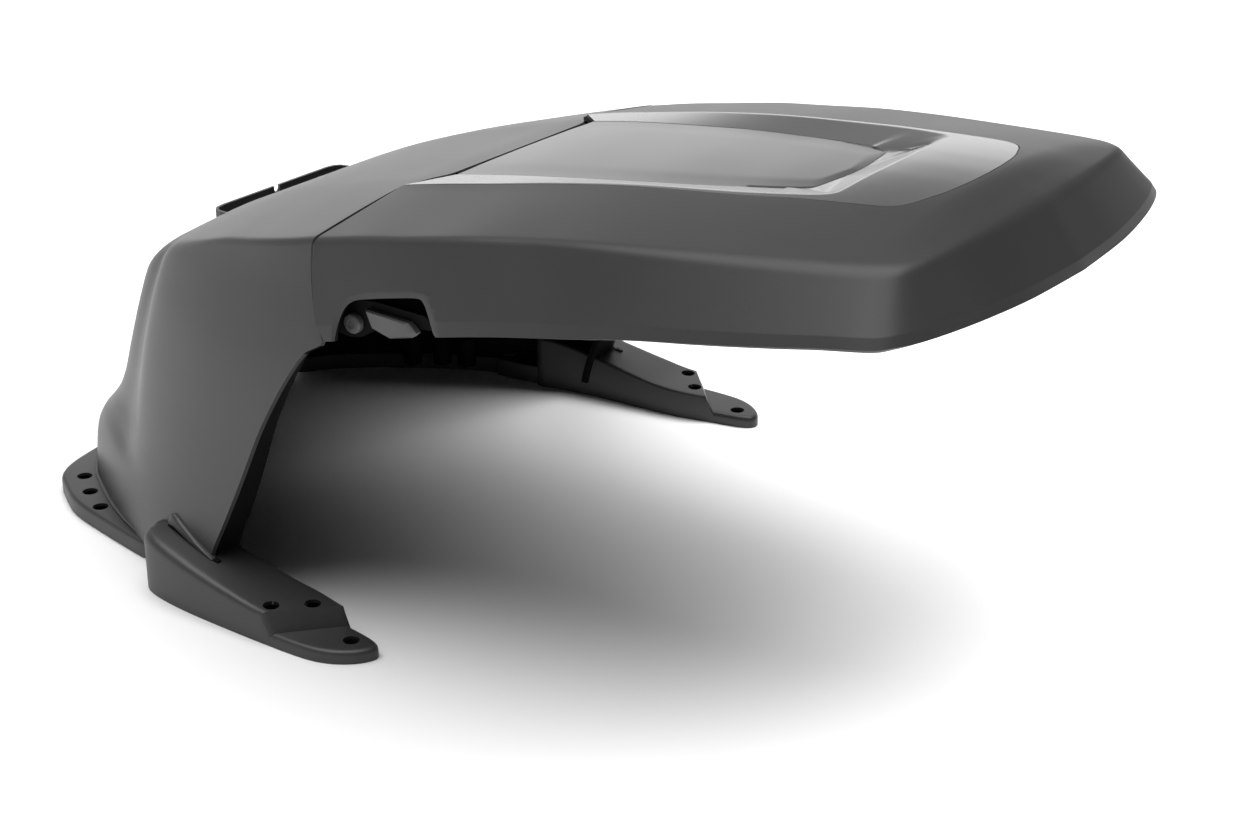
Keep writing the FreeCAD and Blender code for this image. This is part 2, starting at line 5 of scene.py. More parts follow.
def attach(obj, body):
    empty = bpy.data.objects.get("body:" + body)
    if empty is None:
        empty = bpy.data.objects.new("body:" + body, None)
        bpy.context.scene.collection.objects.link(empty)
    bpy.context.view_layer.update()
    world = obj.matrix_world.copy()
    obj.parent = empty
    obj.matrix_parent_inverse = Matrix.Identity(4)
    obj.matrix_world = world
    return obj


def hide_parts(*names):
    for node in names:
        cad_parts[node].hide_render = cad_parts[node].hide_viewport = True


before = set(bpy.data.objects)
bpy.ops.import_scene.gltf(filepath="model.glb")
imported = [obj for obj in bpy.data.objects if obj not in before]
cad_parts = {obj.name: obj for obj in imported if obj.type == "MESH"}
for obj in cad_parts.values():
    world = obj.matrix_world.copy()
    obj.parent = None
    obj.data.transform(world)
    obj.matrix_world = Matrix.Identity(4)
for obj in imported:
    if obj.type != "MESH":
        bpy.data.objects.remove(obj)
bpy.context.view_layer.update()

# ------------------------------------------------------------------ camera
cam_data = bpy.data.cameras.new("camera")
cam = bpy.data.objects.new("camera", cam_data)
bpy.context.scene.collection.objects.link(cam)
pitch, yaw = math.radians(23.29), math.radians(35.22)
look = Vector((math.cos(pitch) * math.cos(yaw), math.cos(pitch) * math.sin(yaw), -math.sin(pitch)))
cam.location = (-1.321, -0.981, 0.805)
cam.rotation_mode = "QUATERNION"
cam.rotation_quaternion = look.to_track_quat("-Z", "Y")
cam_data.sensor_fit = "HORIZONTAL"
cam_data.sensor_width = 36.0
cam_data.lens = 2300.0 / 1245.0 * 36.0
cam_data.clip_start, cam_data.clip_end = 0.05, 60.0
bpy.context.scene.camera = cam

# ------------------------------------------------------------------ tables, local drawing frame in mm
SHIFT = 70.0
GAP = 3.0
HY, HZ = -27.5, 303.0


LEVELS = [0, 15, 35, 50, 60, 74, 88, 104, 130, 160, 195, 225, 255, 290]
# plan control points (x, y) at each level, from the front to the middle of the back
PLAN = {
    0: [(262.5, -60), (262.3, -10), (261, 40), (256.5, 92), (246, 140), (230, 182), (208, 228), (183, 268), (157.5, 306), (129, 333), (84, 343.5), (40, 345), (0, 345)],
    15: [(262, -60), (261.8, -10), (260.5, 40), (256, 92), (245.5, 140), (229.5, 182), (207.5, 228), (182.5, 267.5), (156.5, 305), (128, 331.5), (84, 341.5), (40, 343.2), (0, 343.2)],
    35: [(261, -60), (260.8, -10), (259.5, 40), (254.8, 92), (244.5, 140), (228.5, 182), (206.5, 227.5), (181.5, 266.5), (156, 303), (127.5, 329), (84, 338.5), (40, 340.5), (0, 340.5)],
    50: [(259.5, -60), (259.3, -10), (258, 40), (253.2, 92), (243, 140), (227, 182), (205, 227), (180.5, 265), (156, 299.5), (128, 325), (84, 334.5), (40, 337), (0, 337)],
    60: [(258.5, -60), (258.3, -10), (256.8, 40), (251.8, 92), (241.5, 140), (225.5, 181), (203, 224), (179.5, 261), (155.5, 294), (129, 318.5), (84, 328), (40, 331), (0, 331)],
    74: [(257, -60), (256.8, -10), (255, 40), (249.8, 92), (239, 140), (221.5, 184), (196.5, 216), (175, 251), (156.5, 281), (131.5, 303.5), (85, 312.5), (40, 315), (0, 315)],
    88: [(255.5, -60), (255.2, -10), (253, 40), (247.5, 92), (236, 140), (215, 190), (189, 216.5), (172, 241.5), (157, 269), (132.5, 291.5), (85, 300), (40, 302.5), (0, 302.5)],
    104: [(253.5, -60), (253, -10), (250.5, 40), (244.5, 92), (232, 141), (210.5, 192), (185.5, 214.5), (170.5, 236), (157.5, 260.5), (133.5, 282), (85, 289.5), (40, 291.5), (0, 291.5)],
    130: [(249.5, -60), (249, -10), (246, 40), (239, 92), (225.5, 142), (204, 193), (181, 212), (168.5, 229.5), (157.5, 251.5), (134, 272), (85, 278.5), (40, 280), (0, 280)],
    160: [(244.5, -60), (243.8, -10), (240.5, 40), (232.5, 92), (217.5, 143), (195.5, 193.5), (176, 208), (165.5, 222), (157, 241.5), (134.5, 260), (85, 266), (40, 267.5), (0, 267.5)],
    195: [(237.5, -60), (236.5, -10), (232.5, 40), (223, 92), (206.5, 143), (183.5, 193), (167.5, 203), (160.5, 212.5), (154.5, 228.5), (135, 246.5), (85, 252), (40, 253.5), (0, 253.5)],
    225: [(229.5, -60), (228, -10), (223.5, 40), (211.5, 92), (193, 143), (170, 190), (159, 196), (154.5, 202), (150.5, 214.5), (134, 231), (85, 236), (40, 237.5), (0, 237.5)],
    255: [(221, -60), (219, -10), (213.5, 40), (197.5, 92), (177, 141), (153, 183), (145, 189), (142, 193), (138.5, 203), (125, 214), (85, 219), (40, 220), (0, 220)],
    290: [(212.5, -60), (210, -10), (203, 40), (181, 92), (158, 137), (136, 168), (128, 176), (125, 184), (122.5, 192), (111, 200), (80, 204), (40, 205), (0, 205)],
}
LEG = [(82, -8), (80, 10), (72, 40), (60, 66), (48, 93), (38, 118), (29, 141), (16, 168), (0, 196), (-11, 211), (-26, 221), (-17, 233), (-11, 247), (-5, 268), (-3, 284), (-2, 320)]


def lerp_table(table, key):
    if key <= table[0][0]:
        return table[0][1]
    for (a, va), (b, vb) in zip(table, table[1:]):
        if key <= b:
            return va + (vb - va) * (key - a) / (b - a)
    return table[-1][1]


def hermite(keys, values, key):
    """Smooth interpolation through the values, without overshoot between them."""
    n = len(keys)
    if key <= keys[0]:
        return values[0]
    if key >= keys[-1]:
        return values[-1]
    i = 0
    while key > keys[i + 1]:
        i += 1

    def slope(k):
        if k == 0:
            return (values[1] - values[0]) / (keys[1] - keys[0])
        if k == n - 1:
            return (values[-1] - values[-2]) / (keys[-1] - keys[-2])
        a = (values[k] - values[k - 1]) / (keys[k] - keys[k - 1])
        b = (values[k + 1] - values[k]) / (keys[k + 1] - keys[k])
        if a * b <= 0:
            return 0.0
        h0, h1 = keys[k] - keys[k - 1], keys[k + 1] - keys[k]
        w0, w1 = 2 * h1 + h0, h1 + 2 * h0
        return (w0 + w1) / (w0 / a + w1 / b)

    h = keys[i + 1] - keys[i]
    t = (key - keys[i]) / h
    m0, m1 = slope(i) * h, slope(i + 1) * h
    t2, t3 = t * t, t * t * t
    return (2 * t3 - 3 * t2 + 1) * values[i] + (t3 - 2 * t2 + t) * m0 + (-2 * t3 + 3 * t2) * values[i + 1] + (t3 - t2) * m1


def plan_at(z):
    return [(hermite(LEVELS, [PLAN[k][i][0] for k in LEVELS], z), hermite(LEVELS, [PLAN[k][i][1] for k in LEVELS], z)) for i in range(len(PLAN[0]))]


def bspline(points, u):
    """Cubic B-spline on the control points, mirrored in x at the last one, u from 0 to 1."""
    pts = [(2 * points[0][0] - points[1][0], 2 * points[0][1] - points[1][1])] + list(points) + [(-points[-2][0], points[-2][1])]
    n = len(points) - 1
    s = min(max(u, 0.0), 1.0) * n
    i = min(int(s), n - 1)
    t = s - i
    b = ((1 - t) ** 3 / 6, (3 * t ** 3 - 6 * t * t + 4) / 6, (-3 * t ** 3 + 3 * t * t + 3 * t + 1) / 6, t ** 3 / 6)
    return (sum(b[k] * pts[i + k][0] for k in range(4)), sum(b[k] * pts[i + k][1] for k in range(4)))


MID = [(-60, 311.5), (-29, 306.0), (-4, 301.2), (20, 295.3), (50, 287.8), (80, 279.8), (110, 271.5), (142, 261.2), (172, 249.3), (200, 236.5), (222, 223.5), (232, 216.5), (260, 196), (345, 130)]
DROP = [(-60, 14), (-4, 14.0), (74, 14.4), (103, 13.6), (142, 12.6), (172, 11.2), (200, 9.0), (222, 7.0), (345, 6)]
HALF = [(-60, 214), (-4, 210), (74, 202), (103, 194), (142, 176), (172, 167), (200, 160), (222, 151), (345, 140)]


def roof(x, y):
    s = abs(x) / hermite([k for k, v in HALF], [v for k, v in HALF], y)
    g = max(0.0, (s - 0.42) / 0.58) ** 1.35
    return hermite([k for k, v in MID], [v for k, v in MID], y) - hermite([k for k, v in DROP], [v for k, v in DROP], y) * g


def front_y(z):
    return hermite([k for v, k in LEG], [v for v, k in LEG], z)


class Side:
    def __init__(self):
        self.cache = {}

    def point(self, z, u):
        key = round(z, 3)
        if key not in self.cache:
            self.cache[key] = plan_at(z)
        x, y = bspline(self.cache[key], u)
        return (x, y, z)

    def front(self, z):
        yf = front_y(z)
        lo, hi = 0.0, 0.8
        for _ in range(30):
            m = (lo + hi) / 2
            if self.point(z, m)[1] < yf:
                lo = m
            else:
                hi = m
        return (lo + hi) / 2

    def ridge(self, s):
        lo, hi = 150.0, 310.0
        for _ in range(22):
            z = (lo + hi) / 2
            uf = self.front(z)
            x, y, z = self.point(z, uf + (1 - uf) * s)
            if z > roof(x, y):
                hi = z
            else:
                lo = z
        return (lo + hi) / 2


def P(p):
    return Vector((p[0] * 0.001, (p[1] + SHIFT) * 0.001, p[2] * 0.001))


def table(keys_values):
    keys = [k for k, v in keys_values]
    values = [v for k, v in keys_values]
    return lambda key: hermite(keys, values, key)


def resample(points, n):
    """n points evenly along a polyline."""
    acc = [0.0]
    for a, b in zip(points, points[1:]):
        acc.append(acc[-1] + math.dist(a, b))
    out, k = [], 0
    for i in range(n):
        want = acc[-1] * i / (n - 1)
        while k < len(points) - 2 and acc[k + 1] < want:
            k += 1
        span = acc[k + 1] - acc[k]
        w = 0.0 if span < 1e-9 else min(max((want - acc[k]) / span, 0.0), 1.0)
        out.append(tuple(points[k][j] + (points[k + 1][j] - points[k][j]) * w for j in range(len(points[k]))))
    return out


def trim_end(points, distance):
    """The polyline without its last stretch of that length."""
    pts = list(points)
    left = distance
    while len(pts) > 1:
        d = math.dist(pts[-1], pts[-2])
        if d > left:
            w = left / d
            pts[-1] = tuple(pts[-1][j] + (pts[-2][j] - pts[-1][j]) * w for j in range(3))
            return pts
        left -= d
        pts.pop()
    return pts


def blend_corner(before, after, d0, d1, n):
    """before ends and after starts at one corner; the corner is rounded over d0 and d1 with n points."""
    corner = before[-1]
    a = trim_end(before, d0)
    b = list(reversed(trim_end(list(reversed(after)), d1)))
    arc = []
    for k in range(1, n + 1):
        t = k / (n + 1)
        arc.append(tuple((1 - t) ** 2 * a[-1][j] + 2 * t * (1 - t) * corner[j] + t * t * b[0][j] for j in range(3)))
    return a, arc, b


# ------------------------------------------------------------------ materials
def plastic(name, base, rough, grain=0.35, grain_size=900.0, spread=0.06, coat=0.0, specular=0.5, edge=0.0, side_tone=0.0):
    """Moulded plastic: faint tone clouds, a fine spark-eroded grain in the bump, small changes of roughness, paler
    convex edges where pointiness is high.
    """
    m = bpy.data.materials.new(name)
    m.use_nodes = True
    nt = m.node_tree
    N, L = nt.nodes, nt.links
    b = N["Principled BSDF"]
    b.inputs["Specular IOR Level"].default_value = specular
    b.inputs["Coat Weight"].default_value = coat
    b.inputs["Coat Roughness"].default_value = 0.28
    tc = N.new("ShaderNodeTexCoord")
    cloud = N.new("ShaderNodeTexNoise")
    cloud.inputs["Scale"].default_value = 7.0
    cloud.inputs["Detail"].default_value = 5.0
    fine = N.new("ShaderNodeTexNoise")
    fine.inputs["Scale"].default_value = grain_size
    fine.inputs["Detail"].default_value = 3.0
    cell = N.new("ShaderNodeTexVoronoi")
    cell.inputs["Scale"].default_value = grain_size * 1.3
    for t in (cloud, fine, cell):
        L.new(tc.outputs["Object"], t.inputs["Vector"])
    ramp = N.new("ShaderNodeValToRGB")
    lo, hi = [c * (1 - spread) for c in base], [c * (1 + spread) for c in base]
    ramp.color_ramp.elements[0].position = 0.35
    ramp.color_ramp.elements[0].color = (*lo, 1)
    ramp.color_ramp.elements[1].position = 0.65
    ramp.color_ramp.elements[1].color = (*hi, 1)
    L.new(cloud.outputs["Fac"], ramp.inputs["Fac"])
    mix = N.new("ShaderNodeMixRGB")
    mix.blend_type = "MULTIPLY"
    mix.inputs["Fac"].default_value = 0.3
    g = N.new("ShaderNodeValToRGB")
    g.color_ramp.elements[0].color = (0.82, 0.82, 0.82, 1)
    g.color_ramp.elements[1].color = (1, 1, 1, 1)
    L.new(fine.outputs["Fac"], g.inputs["Fac"])
    L.new(ramp.outputs["Color"], mix.inputs["Color1"])
    L.new(g.outputs["Color"], mix.inputs["Color2"])
    last = mix.outputs["Color"]
    if edge:
        geo = N.new("ShaderNodeNewGeometry")
        er = N.new("ShaderNodeValToRGB")
        er.color_ramp.elements[0].position = 0.53
        er.color_ramp.elements[0].color = (0, 0, 0, 1)
        er.color_ramp.elements[1].position = 0.62
        er.color_ramp.elements[1].color = (1, 1, 1, 1)
        L.new(geo.outputs["Pointiness"], er.inputs["Fac"])
        em = N.new("ShaderNodeMath")
        em.operation = "MULTIPLY"
        em.inputs[1].default_value = edge
        L.new(er.outputs["Color"], em.inputs[0])
        e2 = N.new("ShaderNodeMixRGB")
        e2.blend_type = "ADD"
        e2.inputs["Color2"].default_value = (*[c * 1.0 for c in base], 1)
        L.new(em.outputs["Value"], e2.inputs["Fac"])
        L.new(last, e2.inputs["Color1"])
        last = e2.outputs["Color"]
    L.new(last, b.inputs["Base Color"])
    rm = N.new("ShaderNodeMapRange")
    rm.inputs["To Min"].default_value = rough - 0.045
    rm.inputs["To Max"].default_value = rough + 0.045
    L.new(cloud.outputs["Fac"], rm.inputs["Value"])
    L.new(rm.outputs["Result"], b.inputs["Roughness"])
    bump = N.new("ShaderNodeBump")
    bump.inputs["Strength"].default_value = grain
    bump.inputs["Distance"].default_value = 0.00009
    L.new(cell.outputs["Distance"], bump.inputs["Height"])
    L.new(bump.outputs["Normal"], b.inputs["Normal"])
    return m


def steel(name):
    m = plastic(name, (0.52, 0.52, 0.53), 0.3, 0.2, 1400.0, 0.05)
    m.node_tree.nodes["Principled BSDF"].inputs["Metallic"].default_value = 1.0
    return m


M_SHELL = plastic("shell_plastic", (0.047, 0.047, 0.048), 0.40, 0.30, 900.0)
M_LID = plastic("lid_plastic", (0.046, 0.046, 0.047), 0.42, 0.30, 900.0, 0.06, 0.0, 0.32)
M_FLOOR = plastic("lid_recess_plastic", (0.052, 0.052, 0.053), 0.29, 0.015, 400.0, 0.03)
M_TRIM = plastic("trim_satin_plastic", (0.105, 0.105, 0.104), 0.26, 0.10, 1100.0, 0.03, 0.35)
M_FOOT = plastic("foot_plastic", (0.034, 0.034, 0.035), 0.44, 0.55, 700.0, 0.08)
# painted shade: a near-black plastic put on faces that lie in shadow (insides, undersides, bores, slots, hidden CAD
# parts)
M_PAINTED_SHADE = plastic("painted_shade_black", (0.0045, 0.0045, 0.0045), 0.65, 0.30, 700.0, 0.06, 0.0, 0.07)
M_CATCH = plastic("catch_plastic", (0.075, 0.075, 0.076), 0.38, 0.30, 1100.0)
M_STEEL = steel("pin_steel")


# ------------------------------------------------------------------ mesh helpers
def make(name, verts, faces, mats, body, replaces=(), bevel=0.0, segments=2, limit=40.0, smooth=40.0, picks=None):
    me = bpy.data.meshes.new(name)
    me.from_pydata([P(v) for v in verts], [], faces)
    me.validate()
    for m in mats:
        me.materials.append(m)
    o = bpy.data.objects.new(name, me)
    bpy.context.scene.collection.objects.link(o)
    bm = bmesh.new()
    bm.from_mesh(me)
    bmesh.ops.remove_doubles(bm, verts=bm.verts, dist=2e-6)
    bmesh.ops.dissolve_degenerate(bm, dist=1e-6, edges=bm.edges)
    bmesh.ops.recalc_face_normals(bm, faces=bm.faces)
    if picks:
        for f in bm.faces:
            f.material_index = picks(f)
    bm.to_mesh(me)
    bm.free()
    for poly in me.polygons:
        poly.use_smooth = True
    me.set_sharp_from_angle(angle=math.radians(smooth))
    if bevel:
        mod = o.modifiers.new("bevel", "BEVEL")
        mod.width = bevel * 0.001
        mod.segments = segments
        mod.limit_method = "ANGLE"
        mod.angle_limit = math.radians(limit)
        mod.use_clamp_overlap = True
        mod.harden_normals = False
    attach(o, body)
    if replaces:
        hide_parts(*replaces)
    return o


def grid_faces(nc, nr, start=0, close=False):
    faces = []
    for i in range(nc - 1 + (1 if close else 0)):
        for j in range(nr - 1):
            a = start + i * nr + j
            b = start + ((i + 1) % nc) * nr + j
            faces.append((a, b, b + 1, a + 1))
    return faces


def mirror_columns(cols):
    """Columns from the right side to the middle, then their mirror images back to the left side."""
    return cols + [[(-x, y, z) for x, y, z in c] for c in reversed(cols[:-1])]


def normals_of(cols):
    nc, nr = len(cols), len(cols[0])
    out = []
    for i in range(nc):
        row = []
        for j in range(nr):
            a, b = cols[max(i - 1, 0)][j], cols[min(i + 1, nc - 1)][j]
            c, d = cols[i][max(j - 1, 0)], cols[i][min(j + 1, nr - 1)]
            u = Vector(b) - Vector(a)
            v = Vector(d) - Vector(c)
            n = u.cross(v)
            row.append(n.normalized() if n.length > 1e-9 else None)
        out.append(row)
    for i in range(nc):
        for j in range(nr):
            if out[i][j] is None:
                near = [out[p][q] for p in (i - 1, i, i + 1) for q in (j - 1, j, j + 1) if 0 <= p < nc and 0 <= q < nr and out[p][q] is not None]
                out[i][j] = near[0] if near else Vector((0, 0, 1))
    return out


def walled(cols, wall, outward, flat_from=None, seamed=False):
    """A closed skin of that thickness from outer columns; outward is a function that says which way is out."""
    nc, nr = len(cols), len(cols[0])
    nor = normals_of(cols)
    for i in range(nc):
        for j in range(nr):
            if flat_from is not None and j >= flat_from:
                nor[i][j] = Vector((0, 0, 1))
            elif abs(cols[i][j][0]) < 1e-6:
                n = Vector((0, nor[i][j].y, nor[i][j].z))
                nor[i][j] = n.normalized() if n.length > 1e-6 else Vector((0, 0, 1))
    inner = []
    for i in range(nc):
        col = []
        for j in range(nr):
            p, n = Vector(cols[i][j]), nor[i][j]
            if n.dot(outward(p)) < 0:
                n = -n
            w = wall(cols[i][j]) if callable(wall) else wall
            q = p - n * w
            col.append((q.x, q.y, q.z))
        inner.append(col)
    verts = [v for c in cols for v in c] + [v for c in inner for v in c]
    off = nc * nr
    faces = grid_faces(nc, nr) + [tuple(reversed(f)) for f in grid_faces(nc, nr, off)]
    for i in range(nc - 1):
        for j in ((0,) if seamed else (0, nr - 1)):
            a, b = i * nr + j, (i + 1) * nr + j
            faces.append((a, b, b + off, a + off))
    for j in range(nr - 1):
        for i in (0, nc - 1):
            a, b = i * nr + j, i * nr + j + 1
            faces.append((a, b, b + off, a + off))
    return verts, faces


def cut(target, cutter):
    """Takes the cutter out of the target, for good."""
    mod = target.modifiers.new("cut", "BOOLEAN")
    mod.operation = "DIFFERENCE"
    mod.object = cutter
    mod.solver = "EXACT"
    while target.modifiers[0] != mod:
        target.modifiers.move(len(target.modifiers) - 1, 0)
    bpy.context.view_layer.update()
    dg = bpy.context.evaluated_depsgraph_get()
    others = [(m, m.show_viewport) for m in target.modifiers if m != mod]
    for m, v in others:
        m.show_viewport = False
    bpy.context.view_layer.update()
    dg = bpy.context.evaluated_depsgraph_get()
    me = bpy.data.meshes.new_from_object(target.evaluated_get(dg))
    target.modifiers.remove(mod)
    for m, v in others:
        m.show_viewport = v
    old = target.data
    target.data = me
    bpy.data.meshes.remove(old)
    bpy.data.objects.remove(cutter)


def loose(name, verts, faces):
    me = bpy.data.meshes.new(name)
    me.from_pydata([P(v) for v in verts], [], faces)
    o = bpy.data.objects.new(name, me)
    bpy.context.scene.collection.objects.link(o)
    bm = bmesh.new()
    bm.from_mesh(me)
    bmesh.ops.recalc_face_normals(bm, faces=bm.faces)
    bm.to_mesh(me)
    bm.free()
    return o


def ring_solid(rings):
    """Closed solid from rings of equal length, capped at both ends."""
    n = len(rings[0])
    verts = [p for r in rings for p in r]
    faces = []
    for k in range(len(rings) - 1):
        for i in range(n):
            a, b = k * n + i, k * n + (i + 1) % n
            faces.append((a, b, b + n, a + n))
    faces.append(tuple(range(n - 1, -1, -1)))
    faces.append(tuple(range((len(rings) - 1) * n, len(rings) * n)))
    return verts, faces


def hole_cutter(name, x, y, r, top, chamfer, depth):
    n = 40
    rings = []
    for rad, z in ((r, -8), (r, top - depth), (r + chamfer, top), (r + chamfer + 0.4, top + 14)):
        rings.append([(x + rad * math.cos(2 * math.pi * k / n), y + rad * math.sin(2 * math.pi * k / n), z) for k in range(n)])
    return loose(name, *ring_solid(rings))


# ------------------------------------------------------------------ rear shell
S = Side()
NS, NT, NF, NR = 96, 74, 6, 26


def base_z(s):
    """Height of the shell's lower edge: raised beside the wing plates, on the ground along the back."""
    return 11.0 * (1.0 - min(max((s - 0.72) / 0.05, 0.0), 1.0))


def shell_columns():
    cols = []
    ss = [i / (NS - 1) for i in range(NS)]
    ridge = [S.ridge(s) for s in ss]
    y_end = 110.0
    tongue = [(112, -1), (82, HY + 3.7), (0, HY + 3.7)]
    for s, zr in zip(ss, ridge):
        side = []
        zb = base_z(s)
        for j in range(NT):
            z = zb + (zr - zb) * j / (NT - 1)
            uf = S.front(z)
            x, y, z = S.point(z, uf + (1 - uf) * s)
            side.append((x, y, z))
        R = side[-1]
        yb = HY + 3.7 + (y_end - HY - 3.7) * s
        straight = [(R[0] * (1 - k / 40), R[1] + (yb - R[1]) * k / 40) for k in range(41)]
        w = min(s / 0.12, 1.0)
        if w < 1.0:
            path = [(R[0], R[1])] + [(x, y) for x, y in tongue]
            path = resample([(x, y, 0.0) for x, y in path], 41)
            straight = [(a[0] * w + b[0] * (1 - w), a[1] * w + b[1] * (1 - w)) for a, b in zip(straight, path)]
        top = [(x, y, roof(x, y)) for x, y in straight]
        top[0] = R
        soft = 5.0 + 15.0 * min(max((s - 0.25) / 0.35, 0.0), 1.0)
        a, arc, b = blend_corner(side, top, soft, soft * 1.2, NF)
        cols.append(resample(a, NT) + arc + resample(b, NR))
    return cols


sc = mirror_columns(shell_columns())
sv, sf = walled(sc, 4.0, lambda p: Vector((p.x, p.y - 60, p.z + 20)), None, True)
shell = make("shell_body", sv, sf, [M_SHELL, M_PAINTED_SHADE], "base", ("rear_shell",), 0.7, 2, 50.0, 42.0)
# painted shade on the inner faces: those whose normal looks towards the middle of the hollow get the near-black shade
# material
mid = P((0, 80, 40))
for poly in shell.data.polygons:
    c = poly.center
    if poly.normal.dot(mid - c) > 0 and (c - mid).length > 0.05:
        poly.material_index = 1

# bosses under the shell beside the opening, in near-black painted shade
for k, (x, y) in enumerate(((178.5, 245), (194, 222), (203, 200.5))):
    for side, sign in (("left", -1), ("right", 1)):
        n = 32
        rings = []
        for rad, z in ((7.4, 9), (8.6, 10.2), (8.6, 36)):
            rings.append([(sign * (x + rad * math.cos(2 * math.pi * i / n)), y + rad * math.sin(2 * math.pi * i / n), z) for i in range(n)])
        v, f = ring_solid(rings)
        make("shell_boss_%s_%d" % (side, k + 1), v, f, [M_PAINTED_SHADE], "base", smooth=35)

# ------------------------------------------------------------------ return bands of the legs
# the return faces of the legs get near-black painted shade
for side, sign in (("left", -1), ("right", 1)):
    cols = []
    for k in range(60):
        z = 12 + (208 - 12) * k / 59
        yf = front_y(z)
        xo = S.point(z, S.front(z))[0]
        d = (front_y(z + 1) - front_y(z - 1)) / 2
        nrm = math.hypot(1, d)
        back = (1 / nrm * 5.5, -d / nrm * 5.5)
        ring = [(xo - 1.2, yf - 0.1, z), (xo - 3.4, yf - 0.5, z), (225.2, yf - 0.5, z), (224, yf + 0.8, z), (224, yf + back[0], z + back[1] * 0.6), (min(xo - 4.5, 400), yf + back[0], z + back[1] * 0.6), (xo - 3.9, yf + 1.2, z)]
        cols.append([(sign * p[0], p[1], p[2]) for p in ring])
    v, f = ring_solid(cols)
    make("leg_band_" + side, v, f, [M_PAINTED_SHADE], "base", ("leg_edge_" + side,), smooth=35)

# ------------------------------------------------------------------ lid
RIDGE = [(212.5, 30, 281), (210, -4, 287), (209, -42, 295), (208, -82, 302), (204.5, -132, 311), (199, -178, 317.5), (196, -230, 324), (191, -282, 328.5), (184, -330, 332), (176.8, -374, 335.2), (170.2, -408, 337.6), (165.2, -424, 338.6), (157, -434.5, 339.2), (144, -440.5, 339.8), (126, -444.5, 340.6), (99, -448.5, 341.8), (50, -454, 343.4), (0, -456.5, 344)]
SKIRT = [(232.5, 30, 212), (231, -4, 218), (230.5, -42, 226), (230.3, -82, 237), (229.7, -132, 249), (228.2, -178, 259), (226.5, -230, 269), (223.5, -282, 279), (219.5, -330, 286), (214.2, -374, 292.5), (208.2, -410, 297.8), (204.5, -430, 300), (198.5, -444, 301), (188, -453.5, 302), (169, -461.5, 302), (124, -472.5, 302), (62, -481.3, 302), (0, -484.5, 302)]
TRIM = [(114.5, 30), (114, -4), (114, -42), (113.4, -82), (110.8, -132), (107.8, -178), (104.6, -230), (101.2, -282), (94.6, -330), (91.2, -362), (87.6, -384), (82, -393), (74, -398.5), (64, -402.5), (50, -407.5), (34, -410.6), (17, -412.4), (0, -413)]
RIM = [(114, 30), (113.6, -4), (112.6, -42), (110.9, -82), (107.4, -132), (103.6, -178), (99.6, -230), (95.2, -282), (87.6, -324), (82.6, -338), (76.6, -343.4), (68, -344.6), (57, -345.4), (45, -346.2), (33, -347), (22, -347.6), (11, -348), (0, -348.2)]
FLOOR = [(85.5, 30), (85.2, -4), (84.8, -42), (83.4, -82), (80.4, -132), (77.5, -178), (71.4, -230), (62.4, -280), (56.6, -298), (53.4, -305), (51, -308.6), (46, -310.2), (38, -311.6), (28, -313), (10, -315), (6, -315.2), (3, -315.3), (0, -315.4)]
FOLD = [(85.5, 30), (85.2, -4), (84.8, -42), (83.4, -82), (80.4, -132), (77.5, -178), (71.4, -230), (62.4, -280), (57.4, -300), (57.5, -310), (59.5, -322), (63.5, -326.6), (52, -323.4), (36, -319.6), (10, -315.2), (6, -315.3), (3, -315.4), (0, -315.5)]
CENTRE = [30, -4, -42, -82, -132, -178, -230, -252, -268, -278, -284, -288, -291, -293, -294.5, -295.5, -296, -296.5]
ROWS_Y = [-500, -470, -440, -412, -380, -320, -260, -200, -140, -80, -30, 0, 40]
mid_z = table(list(zip(ROWS_Y, [333, 341, 349, 355, 354.5, 351, 346, 339.5, 330.5, 319, 308, 302, 295])))
rim_z = table(list(zip(ROWS_Y, [331, 338, 344.5, 348.5, 348, 345, 340.2, 334.8, 327, 317, 308, 301.4, 291])))
edge_z = table(list(zip(ROWS_Y, [325, 331, 337, 337, 335.5, 331, 326.6, 320.8, 312.3, 302, 293, 287.6, 279])))
floor_z = table([(-345, 341.4), (-340, 341), (-308, 338.4), (-276, 336), (-233, 332), (-185, 327.4), (-122, 320), (-70, 313), (-31, 306.6), (40, 292)])
seam_y = table([(200, -26), (221, -26), (233, -17), (247, -11), (268, -5), (284, -3), (320, -2)])


def lid_top(x, y):
    a, b, c = mid_z(y), rim_z(y), edge_z(y)
    d = a - b
    return hermite([-25, 0, 25, 50, 75, 100, 125, 150, 175, 200, 290], [a - d * 0.0625, a, a - d * 0.0625, a - d * 0.25, a - d * 0.5625, b, b - (b - c) * 0.24, b - (b - c) * 0.49, b - (b - c) * 0.745, c, c - (b - c) * 0.93], abs(x))


def along(rows, u):
    """Smooth point at station u of a table of points."""
    keys = list(range(len(rows)))
    if isinstance(rows[0], (int, float)):
        return hermite(keys, rows, u)
    return tuple(hermite(keys, [r[j] for r in rows], u) for j in range(len(rows[0])))


LAST = len(RIDGE) - 1
KEYS = []
for k in range(LAST):
    steps = 8 if k < 9 else 7
    KEYS += [k + i / steps for i in range(steps)]
KEYS = [k for k in KEYS if k >= 0.0] + [LAST]


def lid_side(u, t):
    a, b = along(SKIRT, u), along(RIDGE, u)
    tc = 0.165
    out = 1.7 * (1 - t) / (1 - tc) if t > tc else 1.7 * t / tc
    nx, ny = b[0] - along(TRIM, u)[0], b[1] - along(TRIM, u)[1]
    n = math.hypot(nx, ny)
    x, y, z = (a[j] + (b[j] - a[j]) * t for j in range(3))
    return (x + nx / n * out, y + ny / n * out, z)


